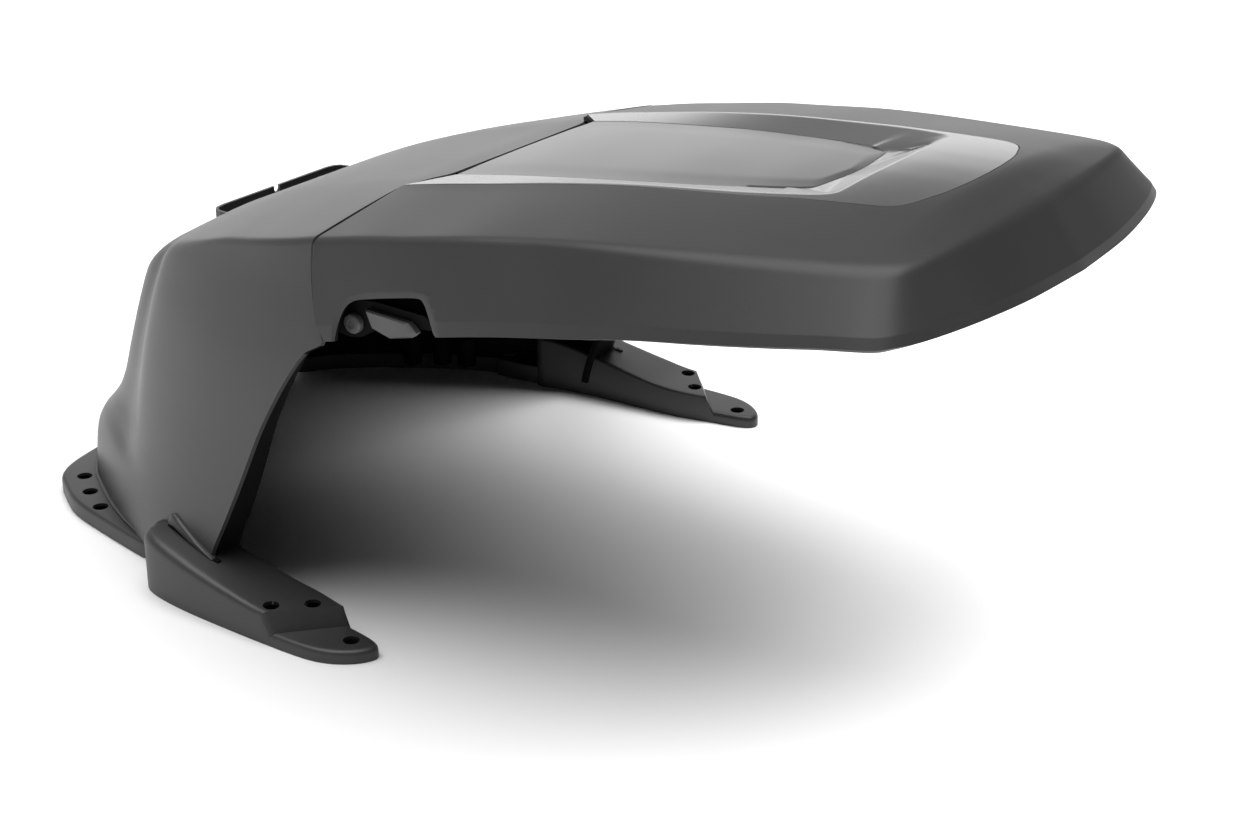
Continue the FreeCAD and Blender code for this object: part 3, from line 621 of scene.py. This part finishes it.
def first_u(t):
    lo, hi = 0.0, 4.0
    for _ in range(26):
        m = (lo + hi) / 2
        x, y, z = lid_side(m, t)
        if y > seam_y(z) - GAP:
            lo = m
        else:
            hi = m
    return (lo + hi) / 2


def station(k, u0):
    """Station k of the evenly spread list, with the first one moved to u0 and its followers eased."""
    if k >= 3.0:
        return k
    return u0 + (3.0 - u0) * (k / 3.0)


TS = [0.0, 0.05, 0.10, 0.14, 0.155, 0.165, 0.175, 0.19, 0.22] + [0.26 + 0.74 * i / 21 for i in range(22)]
U0 = [first_u(t) for t in TS]


def lid_columns():
    cols = []
    u_top = first_u(1.0)
    for k in KEYS:
        side = [lid_side(station(k, u0), t) for t, u0 in zip(TS, U0)]
        u = station(k, u_top)
        R = side[-1]
        T = along(TRIM, u)
        F = along(FLOOR, u)
        cy = along(CENTRE, u)
        if k == 0:
            # rear edge of the lid: straight at the seam, slanting in to the straight hinge line
            T = (113.5, -4.0)
            F = (85.0, HY - 3.9)
            cy = HY - 3.9
        elif k < 1.0:
            w = k
            T = (113.5 + (T[0] - 113.5) * w, -4.0 + (T[1] + 4.0) * w)
            F = (85.0 + (F[0] - 85.0) * w, (HY - 3.9) + (F[1] - HY + 3.9) * w if F[1] < HY - 3.9 else HY - 3.9 - 6 * w)
            cy = min(cy, HY - 3.9 - 6 * w)
        elif F[1] > HY - 9.9:
            F = (F[0], HY - 9.9 - (u - 1) * 2)
            cy = min(cy, HY - 9.9 - (u - 1) * 2)
        top = []
        lift = R[2] - lid_top(R[0], R[1])
        for i in range(31):
            w = i / 30
            x, y = R[0] + (T[0] - R[0]) * w, R[1] + (T[1] - R[1]) * w
            top.append((x, y, lid_top(x, y) + lift * (1 - w) ** 2))
        top[0] = R
        soft = 4.6 + 2.6 * min(max((k - 5) / 4, 0), 1) - 1.2 * min(max((k - 12) / 3, 0), 1)
        a, arc, b = blend_corner(side, top, soft, soft * 1.25, 7)
        tz = lid_top(T[0], T[1])
        fz = floor_z(F[1])
        seat = [(T[0], T[1], tz - 0.9), (T[0] + (F[0] - T[0]) * 0.3, T[1] + (F[1] - T[1]) * 0.3, tz - 2.5 + (fz - 1.2 - tz + 2.5) * 0.3), (F[0] + (T[0] - F[0]) * 0.04, F[1] + (T[1] - F[1]) * 0.04, fz - 1.2), (F[0], F[1], fz)]
        fl = []
        for i in range(1, 13):
            w = i / 12
            x, y = F[0] * (1 - w), F[1] + (cy - F[1]) * w
            fl.append((x, y, floor_z(y) + 1.0 * (1 - (abs(x) / 90.0) ** 2) * min(1.0, w * 3)))
        na = 34
        cols.append(a[:9] + resample(a[9:], na - 9) + arc + resample(b, 24) + seat + fl)
        marks = (na, na + 7, na + 7 + 24)
    return cols, marks


lc, lid_marks = lid_columns()
lid_cols = mirror_columns(lc)
lv, lf = walled(lid_cols, lambda p: 4.6, lambda p: Vector((p.x * 0.35, (p.y + 220) * 0.35, p.z - 262)), lid_marks[2], True)
lid = make("lid_body", lv, lf, [M_LID, M_PAINTED_SHADE, M_FLOOR], "lid", ("lid_shell",), 0.0, 2, 50.0, 40.0)

# side cut-outs with a bevelled rim
ARCH_IN = [(-36.5, 190), (-37.0, 222.8), (-37.3, 233.5), (-39.7, 243.6), (-43.4, 250.4), (-48.9, 254.4), (-56.9, 257.0), (-80.4, 262.7), (-105.4, 268.2), (-110.9, 267.0), (-116.8, 260.4), (-122.7, 253.0), (-126.2, 248.6), (-128.6, 246.1), (-150, 222)]
ARCH_OUT = [(-33.5, 190), (-34.2, 222.6), (-34.8, 234.0), (-37.8, 246.6), (-43.0, 254.8), (-50.8, 259.3), (-59.8, 262.0), (-82.9, 267.8), (-108.4, 273.6), (-114.9, 272.2), (-121.0, 265.6), (-127.6, 257.4), (-131.2, 252.2), (-133.6, 249.2), (-155, 226)]


def softened(points, rounds=2):
    """Open line with its corners cut finer, ends kept."""
    for _ in range(rounds):
        out = [points[0]]
        for p, q in zip(points, points[1:]):
            out.append((p[0] * 0.75 + q[0] * 0.25, p[1] * 0.75 + q[1] * 0.25))
            out.append((p[0] * 0.25 + q[0] * 0.75, p[1] * 0.25 + q[1] * 0.75))
        out.append(points[-1])
        points = out
    return points


arch_in, arch_out = softened(ARCH_IN), softened(ARCH_OUT)
arch_far = [(p[0] * 1.7 - q[0] * 0.7, p[1] * 1.7 - q[1] * 0.7) for p, q in zip(arch_out, arch_in)]


def side_x(y, z):
    u = 1 + (-4 - y) / 40.0
    a, b = along(SKIRT, u), along(RIDGE, u)
    t = min(max((z - a[2]) / (b[2] - a[2]), 0.0), 1.0)
    return a[0] + (b[0] - a[0]) * t + 1.4


for sign in (-1, 1):
    rings = []
    for pts, dx in ((arch_far, 22.0), (arch_far, 1.9), (arch_out, 0.0), (arch_in, -2.7), (arch_in, -30.0)):
        rings.append([(sign * (side_x(y, z) + dx), y, z) for y, z in pts])
    cut(lid, loose("arch_cutter", *ring_solid(rings)))
# faces of the lid that look into its hollow (its underside) get near-black painted shade
mid_lid = P((0, -220, 262))
for poly in lid.data.polygons:
    c = poly.center
    poly.use_smooth = True
    if poly.normal.dot(mid_lid - c) > 0.0 and (abs(c.x) < 0.2265 or c.z < 0.30):
        if poly.normal.z < 0.35 or c.z < 0.29:
            poly.material_index = 1
    elif abs(c.x) < 0.0862 and -0.246 < c.y < 0.06 and poly.normal.z > 0.8:
        # recess floor inside its outline
        poly.material_index = 2
lid.data.set_sharp_from_angle(angle=math.radians(38))

# ------------------------------------------------------------------ trim: frame, sloped walls, ramp and front plate
def trim_columns():
    cols = []
    u_top = first_u(1.0)
    for k in KEYS:
        u = station(k, u_top)
        T, Rm, F, D = along(TRIM, u), along(RIM, u), along(FLOOR, u), along(FOLD, u)
        if k < 1.0:
            yr = -4.0 - 1.5
            T = (113.2 + (T[0] - 113.2) * k, yr + (T[1] - yr) * k)
            Rm = (112.4 + (Rm[0] - 112.4) * k, yr + (Rm[1] - yr) * k)
            yf = HY - 4.4
            F = (85.0 + (F[0] - 85.0) * k, min(yf + (F[1] - yf) * k, yf - 6 * k))
            D = F
        elif F[1] > HY - 9.9:
            F = (F[0], HY - 9.9 - (u - 1) * 2)
            D = F
        # hairline joint to the lid
        n = math.hypot(T[0] - F[0], T[1] - F[1])
        e = ((T[0] - F[0]) / n, (T[1] - F[1]) / n)
        T1 = (T[0] - e[0] * 0.35, T[1] - e[1] * 0.35)
        T2 = (T[0] - e[0] * 0.9, T[1] - e[1] * 0.9)
        zt = lid_top(*T2) + 0.1
        zr = lid_top(*Rm) + 0.1
        pts = [(T1[0], T1[1], zt - 0.6), (T2[0], T2[1], zt)]
        for w in (0.2, 0.4, 0.6, 0.8):
            x, y = T2[0] + (Rm[0] - T2[0]) * w, T2[1] + (Rm[1] - T2[1]) * w
            pts.append((x, y, lid_top(x, y) + 0.1))
        fz = floor_z(F[1]) + 0.05
        dz = floor_z(D[1]) + (0.15 if math.dist(D, F) < 1.0 else 0.9)
        rim = (Rm[0], Rm[1], zr)
        low = (D[0], D[1], dz)
        slope = [tuple(rim[j] + (low[j] - rim[j]) * w for j in range(3)) for w in [i / 12 for i in range(13)]]
        a, arc, b = blend_corner(pts[1:] + [rim], slope, min(1.6, 0.45 * math.dist(pts[1], rim) + 0.05), 1.6, 3)
        body = resample(a, 6) + arc + resample(b, 12)
        cols.append([pts[0]] + body + [(D[0] + (F[0] - D[0]) * 0.5, D[1] + (F[1] - D[1]) * 0.5, (dz + fz) / 2 + 0.02), (F[0], F[1], fz)])
    return cols


tc_ = mirror_columns(trim_columns())
tv, tf = walled(tc_, 0.8, lambda p: Vector((0, 0, 1)))
trim = make("lid_trim", tv, tf, [M_TRIM], "lid", ("lid_trim_frame",), 0.0, 2, 50, 24.0)

# ------------------------------------------------------------------ front feet
FT = [(215.5, 137), (223, 108), (228, 68), (229, 30), (230.5, -8), (234, -26), (238, -44), (241, -62), (243, -72), (246, -79.5), (250, -83), (254.5, -83), (260, -80.6), (267, -75), (273, -67.5), (278, -58), (281.2, -46), (282.3, -30), (282.4, -9), (281.8, 26), (280.5, 61), (279, 84), (276.5, 104), (273.5, 118), (269.5, 128), (264, 134.5), (257, 137)]


def rounded(points, rounds=2):
    """Closed outline with its corners cut finer and finer."""
    for _ in range(rounds):
        out = []
        for i, p in enumerate(points):
            q = points[(i + 1) % len(points)]
            out.append(tuple(p[j] * 0.75 + q[j] * 0.25 for j in range(len(p))))
            out.append(tuple(p[j] * 0.25 + q[j] * 0.75 for j in range(len(p))))
        points = out
    return points


foot_line = rounded(FT, 2)
foot_z = table([(-120, 23.8), (-40, 23.8), (3, 25.6), (33, 30), (68, 36.5), (95, 42), (121, 46), (136, 46.5)])


def edge_distance(x, y, line):
    best = 1e9
    for i, (ax, ay) in enumerate(line):
        bx, by = line[(i + 1) % len(line)]
        dx, dy = bx - ax, by - ay
        n = dx * dx + dy * dy
        w = 0.0 if n < 1e-12 else min(max(((x - ax) * dx + (y - ay) * dy) / n, 0.0), 1.0)
        d = (x - ax - w * dx) ** 2 + (y - ay - w * dy) ** 2
        best = min(best, d)
    return math.sqrt(best)


def foot_top(x, y):
    """Height of the foot: a long low rise to the leg, one skewed step down to the tip."""
    behind = y - (16.0 - (300.0 - x) * 0.894)
    full = foot_z(y)
    if behind >= 0:
        return full
    if behind <= -8.5:
        return 10.0
    return full + (10.0 - full) * (-behind / 8.5)


def cross_row(slope, level, line):
    """Where the row y = level + slope (x - 255) meets the outline: inner and outer end."""
    hits = []
    for i, (ax, ay) in enumerate(line):
        bx, by = line[(i + 1) % len(line)]
        fa, fb = ay - level - slope * (ax - 255), by - level - slope * (bx - 255)
        if (fa <= 0) != (fb <= 0):
            w = fa / (fa - fb)
            hits.append((ax + (bx - ax) * w, ay + (by - ay) * w))
    hits.sort()
    return hits[0], hits[-1]


def foot_rows():
    rows = []
    lv_step = 16.0 - 45 * 0.894
    low = None
    tang = min(y - 0.894 * (x - 255) for x, y in foot_line)
    levels = []
    n = 16
    for i in range(n):
        a = math.pi / 2 * i / (n - 1)
        levels.append((0.894, tang + 0.02 + (lv_step - 8.9 - tang) * (1 - math.cos(a))))
    for d in (-8.5, -8.1, -6, -4, -2, -0.4, 0.0, 0.6):
        levels.append((0.894, lv_step + d))
    for i in range(1, 60):
        w = i / 59
        levels.append((0.894 * (1 - w), lv_step + 0.6 + (136.96 - lv_step - 0.6) * w))
    for slope, level in levels:
        a, b = cross_row(slope, level, foot_line)
        width = math.dist(a, b)
        ds = [0.0, 0.3, 0.8, 1.5, 2.5, 3.7, 5.2, 7.4]
        if width < 26:
            ds = [d * width / 26 for d in ds]
        mid = [ds[-1] + (width - 2 * ds[-1]) * k / 13 for k in range(1, 13)]
        stations = ds + mid + [width - d for d in reversed(ds)]
        row = []
        for s in stations:
            w = s / width
            x, y = a[0] + (b[0] - a[0]) * w, a[1] + (b[1] - a[1]) * w
            d = edge_distance(x, y, foot_line)
            z = foot_top(x, y)
            r = (4.2 + 3.0 * min(max((y + 10) / 100, 0.0), 1.0)) if x > 250 or y < -40 else 2.4
            r = min(r, 0.45 * z)
            if d < r:
                z -= r - math.sqrt(max(r * r - (r - d) ** 2, 0.0))
            row.append((x, y, z))
        rows.append(row)
    return rows


def slab_from_grid(rows, floor_level):
    nr, nc = len(rows), len(rows[0])
    verts = [p for r in rows for p in r]
    faces = []
    for i in range(nr - 1):
        for j in range(nc - 1):
            a = i * nc + j
            faces.append((a, a + 1, a + 1 + nc, a + nc))
    rim = [j for j in range(nc)] + [i * nc + nc - 1 for i in range(1, nr)] + [(nr - 1) * nc + j for j in range(nc - 2, -1, -1)] + [i * nc for i in range(nr - 2, 0, -1)]
    n = len(rim)
    first = len(verts)
    for lvl in (floor_level + 0.8, floor_level):
        for k in rim:
            x, y, z = verts[k]
            verts.append((x, y, min(lvl, z)))
    for k in range(n):
        q = (k + 1) % n
        faces.append((rim[k], rim[q], first + q, first + k))
        faces.append((first + k, first + q, first + n + q, first + n + k))
    faces.append(tuple(first + n + k for k in range(n)))
    return verts, faces


def blacken(o, x, y, radius):
    """The bore of a hole gets painted shade: its faces take the near-black shade material."""
    if len(o.data.materials) < 2:
        o.data.materials.append(M_PAINTED_SHADE)
    q = P((x, y, 0))
    for poly in o.data.polygons:
        c = poly.center
        if math.hypot(c.x - q.x, c.y - q.y) < radius * 0.001 and poly.normal.z < 0.98 and c.z > 0.0001:
            poly.material_index = 1


rows = foot_rows()
for side, sign in (("left", -1), ("right", 1)):
    v, f = slab_from_grid([[(sign * x, y, z) for x, y, z in r] for r in rows], 0.0)
    foot = make("foot_" + side, v, f, [M_FOOT], "base", ("front_foot_" + side,), 0.0, 2, 50, 33.0)
    for k, ((x, y), top) in enumerate((((270, 0), 25.5), ((249, -21), 24.4), ((255, -62), 10.0))):
        cut(foot, hole_cutter("hole_cutter", sign * x, y, 4.7, top + 0.1, 1.5, 1.8))
        blacken(foot, sign * x, y, 5.6)
    foot.data.set_sharp_from_angle(angle=math.radians(33))
    tail = [(224, 106), (214, 175), (222, 176), (240, 150), (262, 134), (262, 106)]
    v, f = ring_solid([[(sign * x, y, z) for x, y in rounded(tail, 1)] for z in (0.6, 17.0)])
    make("foot_tail_" + side, v, f, [M_FOOT], "base", bevel=1.0)

# ribs above the feet, on the skin of the legs
RIB_OUT = [(122.5, 49), (122, 53), (120.5, 56.6), (117.5, 57.6), (113, 55.8), (104, 51.8), (94, 47.6), (84, 43.6), (75, 40.4), (71, 39.0), (68.6, 37.8)]
RIB_IN = [(122.4, 48.2), (119, 47.8), (113, 46.8), (105, 44.8), (96, 42.4), (87, 40.2), (78, 38.2), (72, 36.9), (68.4, 36.4)]
SLOT = [(123.5, 46.6), (113, 45.2), (104, 43.4), (95, 41.6), (84, 39.0), (74, 37.0), (67, 36.0), (63.5, 35.6)]


def leg_x(y, z):
    """Outer face of the leg at that place."""
    lo, hi = S.front(z), 0.999
    for _ in range(40):
        m = (lo + hi) / 2
        if S.point(z, m)[1] < y:
            lo = m
        else:
            hi = m
    return S.point(z, lo)


for side, sign in (("left", -1), ("right", 1)):
    top = resample([(y, z, 0) for y, z in RIB_OUT], 46)
    low = resample([(y, z, 0) for y, z in RIB_IN], 46)
    rings = []
    for (yt, zt, _), (yl, zl, _) in zip(top, low):
        xt, xl = leg_x(yt, zt)[0], leg_x(yl, zl)[0]
        m = ((yt + yl) / 2, (zt + zl) / 2)
        xm = leg_x(*m)[0]
        ring = [(xt - 1.5, yt, zt), (xt + 0.2, yt, zt), (xt + 2.4, yt + (m[0] - yt) * 0.12, zt + (m[1] - zt) * 0.12), (xt + 3.3, yt + (m[0] - yt) * 0.35, zt + (m[1] - zt) * 0.35),
                (xm + 3.5, m[0], m[1]), (xl + 3.3, yl + (m[0] - yl) * 0.35, zl + (m[1] - zl) * 0.35), (xl + 2.4, yl + (m[0] - yl) * 0.1, zl + (m[1] - zl) * 0.1), (xl + 0.2, yl, zl), (xl - 1.5, yl, zl)]
        rings.append([(sign * p[0], p[1], p[2]) for p in ring])
    v, f = ring_solid(rings)
    make("leg_rib_" + side + "_skin", v, f, [M_FOOT], "base", ("leg_rib_" + side,), 0.4, 2, 50, 40.0)
    # black joint where the leg stands in the foot: a near-black strip of painted shade in the slot
    rings = []
    for y, z, _ in resample([(y, z, 0) for y, z in SLOT], 40):
        x = leg_x(y, z)[0]
        rings.append([(sign * a, y, b) for a, b in ((x - 1.5, z - 2.6), (x + 2.6, z - 2.6), (x + 2.6, z + 0.2), (x + 1.9, z + 1.3), (x + 0.6, z + 1.5), (x - 1.5, z + 1.5))])
    v, f = ring_solid(rings)
    make("leg_joint_" + side, v, f, [M_PAINTED_SHADE], "base", smooth=35)

# ------------------------------------------------------------------ wing plates beside the back
WING = [(112, 335), (134, 333), (156, 329), (171, 324), (182, 317.6), (189, 310.5), (194, 302.5), (203, 288.5), (211, 274.5), (217, 257.5), (221.4, 238), (225, 222), (228.5, 206), (233, 184), (236, 168), (236, 154)]
inside = []
for k in range(15):
    u = S.front(12.0) + (0.9 - S.front(12.0)) * k / 14
    x, y, z = S.point(12.0, u)
    x1, y1, z1 = S.point(12.0, u + 0.005)
    n = math.hypot(x1 - x, y1 - y)
    inside.append((x - 7.0 * (y1 - y) / n, y + 7.0 * (x1 - x) / n))
inside = [(224, 153)] + [p for p in inside if 166 < p[1] < 330 and p[0] > 108]
WING = [(x, y, 0.0 if k in (0, len(WING) - 1) else 1.0) for k, (x, y) in enumerate(WING)] + [(x, y, 0.0) for x, y in inside]
for side, sign in (("left", -1), ("right", 1)):
    line = rounded(WING, 2)

    def shrink(d):
        out = []
        n = len(line)
        for i, (x, y, part) in enumerate(line):
            a, b = line[i - 1], line[(i + 1) % n]
            tx, ty = b[0] - a[0], b[1] - a[1]
            q = math.hypot(tx, ty)
            out.append((x - ty / q * d * turn * part, y + tx / q * d * turn * part))
        return out

    area = sum(a[0] * b[1] - b[0] * a[1] for a, b in zip(line, line[1:] + line[:1]))
    turn = 1.0 if area > 0 else -1.0
    rings = []
    for d, z in ((0.7, 0.3), (0.0, 1.0), (0.0, 10.6), (0.35, 12.0), (1.1, 13.1), (2.3, 13.8), (3.4, 14.0)):
        rings.append([(sign * x, y, z) for x, y in shrink(d)])
    v, f = ring_solid(rings)
    wing = make("wing_" + side, v, f, [M_FOOT], "base", ("rear_flange_" + side,), 0.0, 2, 50, 30.0)
    for x, y in ((177, 296), (195, 270), (210, 242)):
        cut(wing, hole_cutter("hole_cutter", sign * x, y, 4.9, 14.05, 1.4, 1.6))
        blacken(wing, sign * x, y, 5.6)
    wing.data.set_sharp_from_angle(angle=math.radians(30))
    # bead between the plate and the skirt of the shell
    path = resample([(sign * x, y, z) for x, y, z in ((150, 310, 14.2), (168, 291, 14.4), (183, 268, 14.6), (196, 247, 14.9), (205, 231, 15.2), (218, 204, 15.8), (228, 179, 16.6), (231, 166, 17.0))], 60)
    rings = []
    for i, p in enumerate(path):
        a, b = path[max(i - 1, 0)], path[min(i + 1, len(path) - 1)]
        t = (Vector(b) - Vector(a)).normalized()
        side_v = t.cross(Vector((0, 0, 1))).normalized()
        rings.append([tuple(Vector(p) + side_v * (1.9 * math.cos(2 * math.pi * k / 14)) + Vector((0, 0, 1)) * (1.5 * math.sin(2 * math.pi * k / 14) - 0.3)) for k in range(14)])
    v, f = ring_solid(rings)
    make("wing_bead_" + side, v, f, [M_SHELL], "base", smooth=50)

# ------------------------------------------------------------------ catch: knob with a chamfered face
for side, sign in (("left", -1), ("right", 1)):
    n = 48
    rings = []
    for rad, x in ((7.5, 211.0), (7.5, 214.6), (7.2, 215.2), (6.2, 216.0), (3.2, 216.0), (2.9, 215.6), (1.2, 215.5)):
        rings.append([(sign * x, -41 + rad * math.cos(2 * math.pi * i / n), 234 + rad * math.sin(2 * math.pi * i / n)) for i in range(n)])
    v, f = ring_solid(rings)
    make("catch_knob_" + side, v, f, [M_CATCH], "base", ("latch_knob_" + side,), smooth=35)


# catch wedge: tapered block with a small facet at its front end
WEDGE = [(-55, 248), (-72, 247), (-93, 246), (-100, 240), (-96, 236), (-76, 231), (-60, 235), (-58, 240)]
WEDGE_FACE = [(-56.2, 246.8), (-72, 246.1), (-89.6, 245.0), (-94.6, 239.6), (-92.6, 236.6), (-76, 232.1), (-61.2, 235.9), (-59.2, 240.2)]
for side, sign in (("left", -1), ("right", 1)):
    rings = [[(sign * x, y, z) for y, z in pts] for x, pts in ((211.0, WEDGE), (215.4, WEDGE), (216.9, WEDGE_FACE))]
    v, f = ring_solid(rings)
    make("catch_wedge_" + side, v, f, [M_CATCH], "base", ("latch_wedge_" + side,), 0.0, 2, 25, 25.0)

# ------------------------------------------------------------------ CAD nodes that stay in view
def dress(name, mat, width):
    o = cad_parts[name]
    o.data.materials.clear()
    o.data.materials.append(mat)
    if width:
        mod = o.modifiers.new("edge_round", "BEVEL")
        mod.width = width * 0.001
        mod.segments = 3
        mod.limit_method = "ANGLE"
        mod.angle_limit = math.radians(35)
        mod.use_clamp_overlap = True


# latch arms, hinge leaves and the other CAD parts sit in the lid's shade and get near-black painted shade; the cowl
# and the pin keep their own finish
for name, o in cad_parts.items():
    if name.startswith("latch_arm"):
        dress(name, M_PAINTED_SHADE, 0.0)
    elif name.startswith("rear_cowl"):
        dress(name, M_SHELL, 0.7)
    elif name == "hinge_pin":
        dress(name, M_STEEL, 0.4)
    elif name.startswith("hinge"):
        dress(name, M_PAINTED_SHADE, 0.3)
    else:
        dress(name, M_PAINTED_SHADE, 0.0)

# ------------------------------------------------------------------ stage and light
bpy.ops.mesh.primitive_plane_add(size=1, location=(0, 0, 0))
floor = bpy.context.object
floor.name = "floor"
floor.scale = (16, 16, 1)
paint = bpy.data.materials.new("floor_paint")
paint.use_nodes = True
nt = paint.node_tree
pb = nt.nodes["Principled BSDF"]
pb.inputs["Roughness"].default_value = 0.8
pb.inputs["Specular IOR Level"].default_value = 0.15
ft = nt.nodes.new("ShaderNodeTexNoise")
ft.inputs["Scale"].default_value = 3.0
fr = nt.nodes.new("ShaderNodeValToRGB")
fr.color_ramp.elements[0].color = (0.915, 0.915, 0.915, 1)
fr.color_ramp.elements[1].color = (0.93, 0.93, 0.93, 1)
fc = nt.nodes.new("ShaderNodeTexCoord")
nt.links.new(fc.outputs["Object"], ft.inputs["Vector"])
nt.links.new(ft.outputs["Fac"], fr.inputs["Fac"])
nt.links.new(fr.outputs["Color"], pb.inputs["Base Color"])
floor.data.materials.append(paint)

scene = bpy.context.scene
scene.view_settings.view_transform = "Standard"
scene.view_settings.look = "None"
scene.view_settings.exposure = 0.0
world = bpy.data.worlds.new("studio")
scene.world = world
world.use_nodes = True
wn = world.node_tree
bg = wn.nodes["Background"]
wc = wn.nodes.new("ShaderNodeTexCoord")
sep = wn.nodes.new("ShaderNodeSeparateXYZ")
wr = wn.nodes.new("ShaderNodeValToRGB")
wn.links.new(wc.outputs["Generated"], sep.inputs["Vector"])
wn.links.new(sep.outputs["Z"], wr.inputs["Fac"])
wn.links.new(wr.outputs["Color"], bg.inputs["Color"])
wr.color_ramp.elements[0].position = 0.0
wr.color_ramp.elements[0].color = (0.95, 0.95, 0.95, 1)
wr.color_ramp.elements[1].position = 0.85
wr.color_ramp.elements[1].color = (0.13, 0.13, 0.13, 1)
e = wr.color_ramp.elements.new(0.12)
e.color = (0.75, 0.75, 0.75, 1)
e = wr.color_ramp.elements.new(0.35)
e.color = (0.17, 0.17, 0.17, 1)
# the front of the studio is darker than the back and the near side
dot = wn.nodes.new("ShaderNodeVectorMath")
dot.operation = "DOT_PRODUCT"
dot.inputs[1].default_value = (-0.35, 0.94, 0.0)
wm = wn.nodes.new("ShaderNodeMapRange")
wm.inputs["From Min"].default_value = -0.75
wm.inputs["From Max"].default_value = 0.3
wm.inputs["To Min"].default_value = 0.03
wm.inputs["To Max"].default_value = 1.0
mul = wn.nodes.new("ShaderNodeMixRGB")
mul.blend_type = "MULTIPLY"
mul.inputs["Fac"].default_value = 1.0
wn.links.new(wc.outputs["Generated"], dot.inputs[0])
wn.links.new(dot.outputs["Value"], wm.inputs["Value"])
wn.links.new(wr.outputs["Color"], mul.inputs["Color1"])
wn.links.new(wm.outputs["Result"], mul.inputs["Color2"])
wn.links.new(mul.outputs["Color"], bg.inputs["Color"])
bg.inputs["Strength"].default_value = 1.0


def area(name, where, target, size_x, size_y, watts):
    data = bpy.data.lights.new(name, "AREA")
    data.shape = "RECTANGLE"
    data.size, data.size_y = size_x, size_y
    data.energy = watts
    o = bpy.data.objects.new(name, data)
    scene.collection.objects.link(o)
    o.location = where
    d = Vector(target) - Vector(where)
    o.rotation_mode = "QUATERNION"
    o.rotation_quaternion = d.to_track_quat("-Z", "Y")
    return o


area("back_softbox", (1.62, 1.2, 0.66), (0.0, -0.1, 0.3), 2.6, 0.66, 6.5)
sun = bpy.data.lights.new("overhead", "SUN")
sun.energy = 3.3
sun.angle = math.radians(62)
overhead = bpy.data.objects.new("overhead", sun)
scene.collection.objects.link(overhead)
overhead.rotation_euler = (math.radians(-6), math.radians(2), 0)
# a wash of light on the floor only, from the front right, opens the shadow below the lid
wash = area("floor_wash", (1.2, -1.35, 1.75), (0.0, -0.25, 0.0), 1.3, 1.2, 62.0)
only = bpy.data.collections.new("floor_only")
only.objects.link(floor)
wash.light_linking.receiver_collection = only
